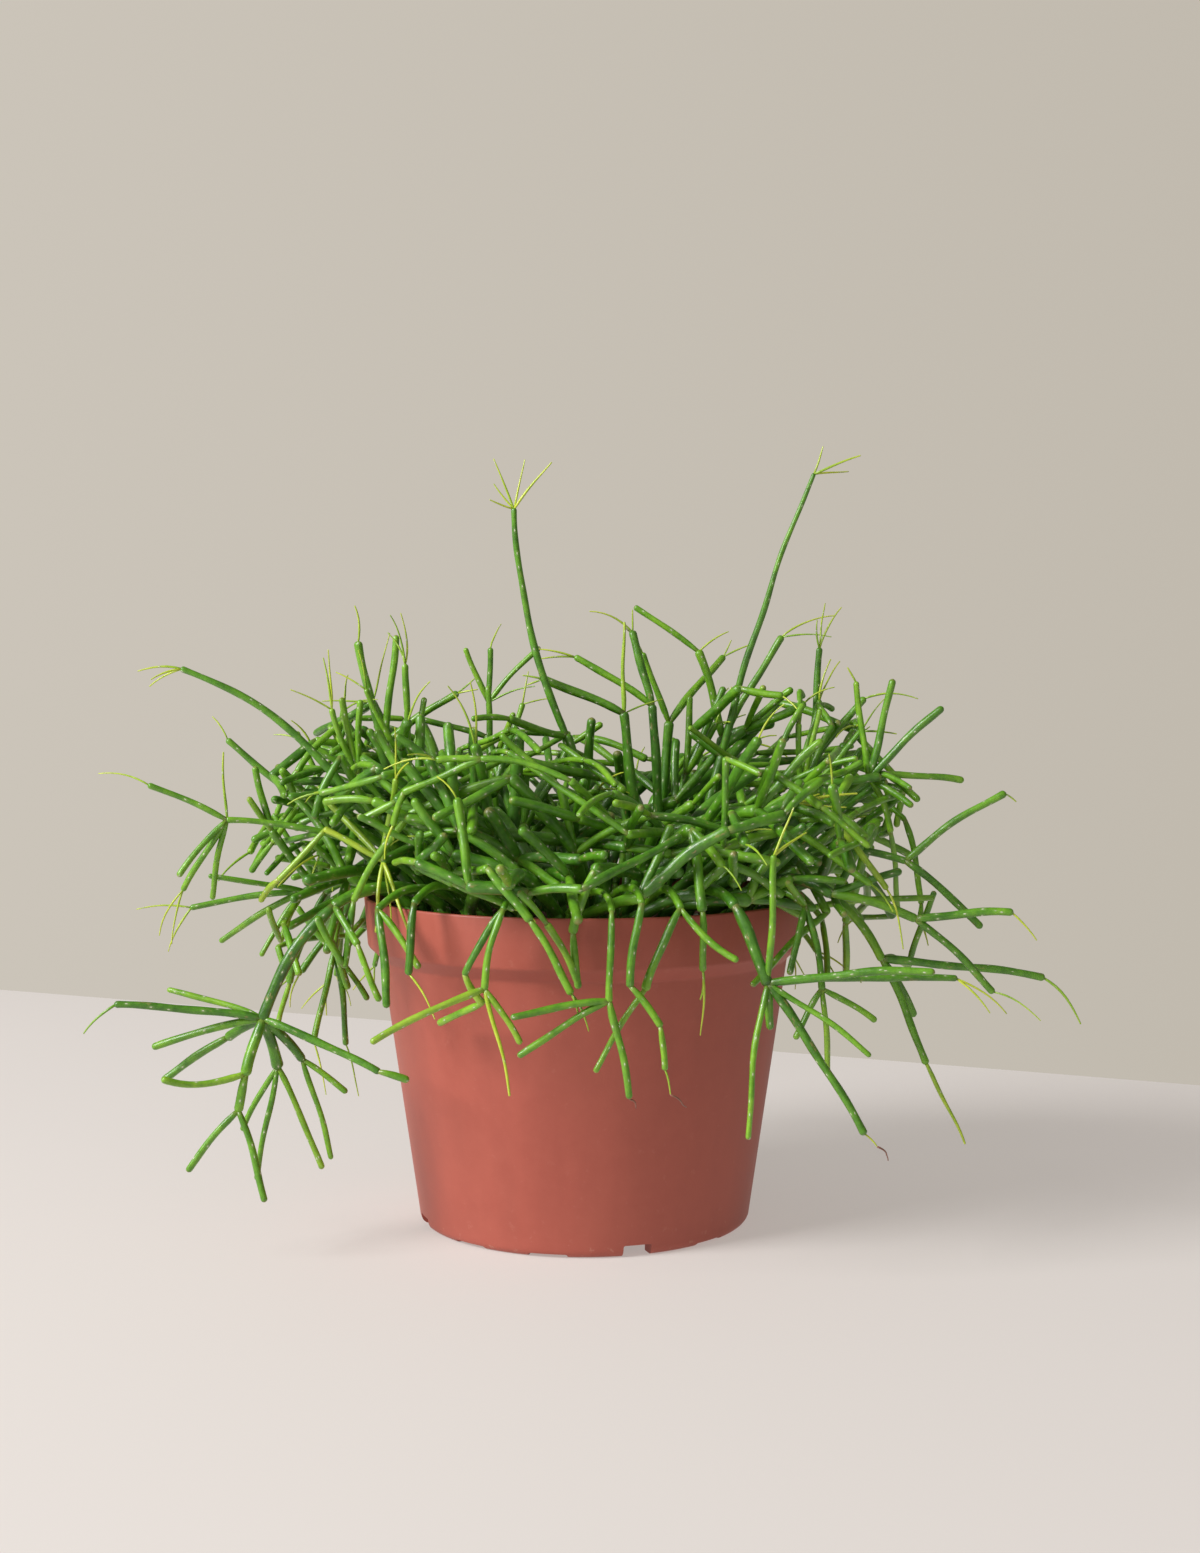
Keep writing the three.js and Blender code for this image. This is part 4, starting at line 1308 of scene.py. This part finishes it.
def crumbShape():
    # one rounded chip, copied with its own turn and stretch
    deselectAll()
    bpy.ops.mesh.primitive_cube_add(size=1)
    chip = bpy.context.object
    bpy.ops.object.mode_set(mode="EDIT")
    bpy.ops.mesh.select_all(action="SELECT")
    bpy.ops.mesh.subdivide(number_cuts=1, smoothness=0.8, fractal=0.4, seed=3)
    bpy.ops.object.mode_set(mode="OBJECT")
    corners = np.array([v.co for v in chip.data.vertices])
    faces = [tuple(face.vertices) for face in chip.data.polygons]
    bpy.data.objects.remove(chip)
    return corners, faces


def scatterCrumbs(topRadius):
    corners, faces = crumbShape()
    draw = random.Random(77)
    vertices = []
    polygons = []
    data = []
    for i in range(mixShape["crumbs"]):
        radius = (topRadius - 2.5) * math.sqrt((i + 0.5) / mixShape["crumbs"])
        angle = i * goldenTurn + draw.uniform(-6, 6)
        x = radius * math.cos(math.radians(angle))
        y = radius * math.sin(math.radians(angle))
        size = draw.uniform(*mixShape["crumbSize"])
        white = draw.random() < mixShape["perlite"]
        stretch = (1, 1, 0.9) if white else (draw.uniform(0.8, 1.9), draw.uniform(0.5, 1), 0.55)
        turn = Euler([draw.uniform(-0.6, 0.6), draw.uniform(-0.6, 0.6), draw.uniform(0, 6.28)])
        shape = corners * np.array(stretch) * size * (0.75 if white else 1)
        shape = shape @ np.array(turn.to_matrix()).T
        shape += np.array((x, y, min(mixHeight(x, y) + size * 0.22, growth["mixTop"] + 1.2)))
        start = len(vertices)
        vertices.extend(map(tuple, shape * mm))
        polygons.extend(tuple(start + k for k in face) for face in faces)
        data.extend([(draw.random(), 1.0 if white else 0.0, 0, 1)] * len(corners))
    mesh = bpy.data.meshes.new("barkCrumbs")
    mesh.from_pydata(vertices, [], polygons)
    attribute = mesh.attributes.new("crumbData", "FLOAT_COLOR", "POINT")
    attribute.data.foreach_set("color", np.array(data, dtype=float).ravel())
    crumbs = bpy.data.objects.new("barkCrumbs", mesh)
    bpy.context.scene.collection.objects.link(crumbs)
    return crumbs


def mixFinish():
    material, nodes, links, shader = newMaterial("peatAndBark")
    coords = nodes.new("ShaderNodeTexCoord").outputs["Object"]
    data = nodes.new("ShaderNodeVertexColor")
    data.layer_name = "crumbData"
    split = nodes.new("ShaderNodeSeparateColor")
    links.new(data.outputs["Color"], split.inputs["Color"])
    earth, mask = mottled(nodes, links, coords, mixShape["peat"], mixShape["peatLight"], 180, 900)
    bark = mixColours(nodes, links, maths(nodes, links, "MULTIPLY", split.outputs["Red"], 0.5),
                      earth, mixShape["bark"])
    both = mixColours(nodes, links, split.outputs["Green"], bark, mixShape["perliteColour"])
    links.new(both, shader.inputs["Base Color"])
    rough = maths(nodes, links, "ADD", 0.82, maths(nodes, links, "MULTIPLY", mask, 0.12))
    links.new(rough, shader.inputs["Roughness"])
    grit = noise(nodes, links, coords, 1100, 4, 0.7)
    bump(nodes, links, grit, 0.6, 0.0005, shader)
    return material


def buildMix():
    inset = growth["wall"] + mixShape["clearance"]
    stepTop = growth["potTop"] - potShape["collar"]
    stepBottom = stepTop - potShape["step"]
    lower = growth["rim"] - potShape["collarDraft"]
    stepRadius = lower - potShape["stepInset"]
    slope = (stepRadius - potShape["base"]) / (stepBottom - potShape["baseRounding"])
    bottom = mixLow.z / mm
    bottomRadius = potShape["base"] - inset + slope * (bottom - potShape["baseRounding"])
    top = growth["mixTop"] - 1.5
    topRadius = lower - inset + potShape["collarDraft"] * (top - stepTop) / potShape["collar"]
    outline = [(0, bottom), (bottomRadius * 0.5, bottom), (bottomRadius, bottom),
               (stepRadius - inset, stepBottom), (lower - inset, stepTop + 0.3)]
    count = mixShape["rings"]
    outline += [(topRadius * (1 - i / count), top) for i in range(count + 1)]
    piece = spinOutline("pottingMixBed", outline, mixShape["segments"])
    for vertex in piece.data.vertices:
        if vertex.co.z > (top - 0.1) * mm:
            vertex.co.z = mixHeight(vertex.co.x / mm, vertex.co.y / mm) * mm
    bedData = piece.data.attributes.new("crumbData", "FLOAT_COLOR", "POINT")
    bedData.data.foreach_set("color", [0.2, 0, 0, 1] * len(piece.data.vertices))
    crumbs = scatterCrumbs(topRadius)
    makeActive(piece)
    crumbs.select_set(True)
    bpy.ops.object.join()
    bpy.ops.object.shade_smooth_by_angle(angle=math.radians(50))
    piece.data.materials.clear()
    piece.data.materials.append(mixFinish())
    finishPiece(piece, "potting_mix", "potting_mix")
    return piece


buildMix()
print("potting mix built")
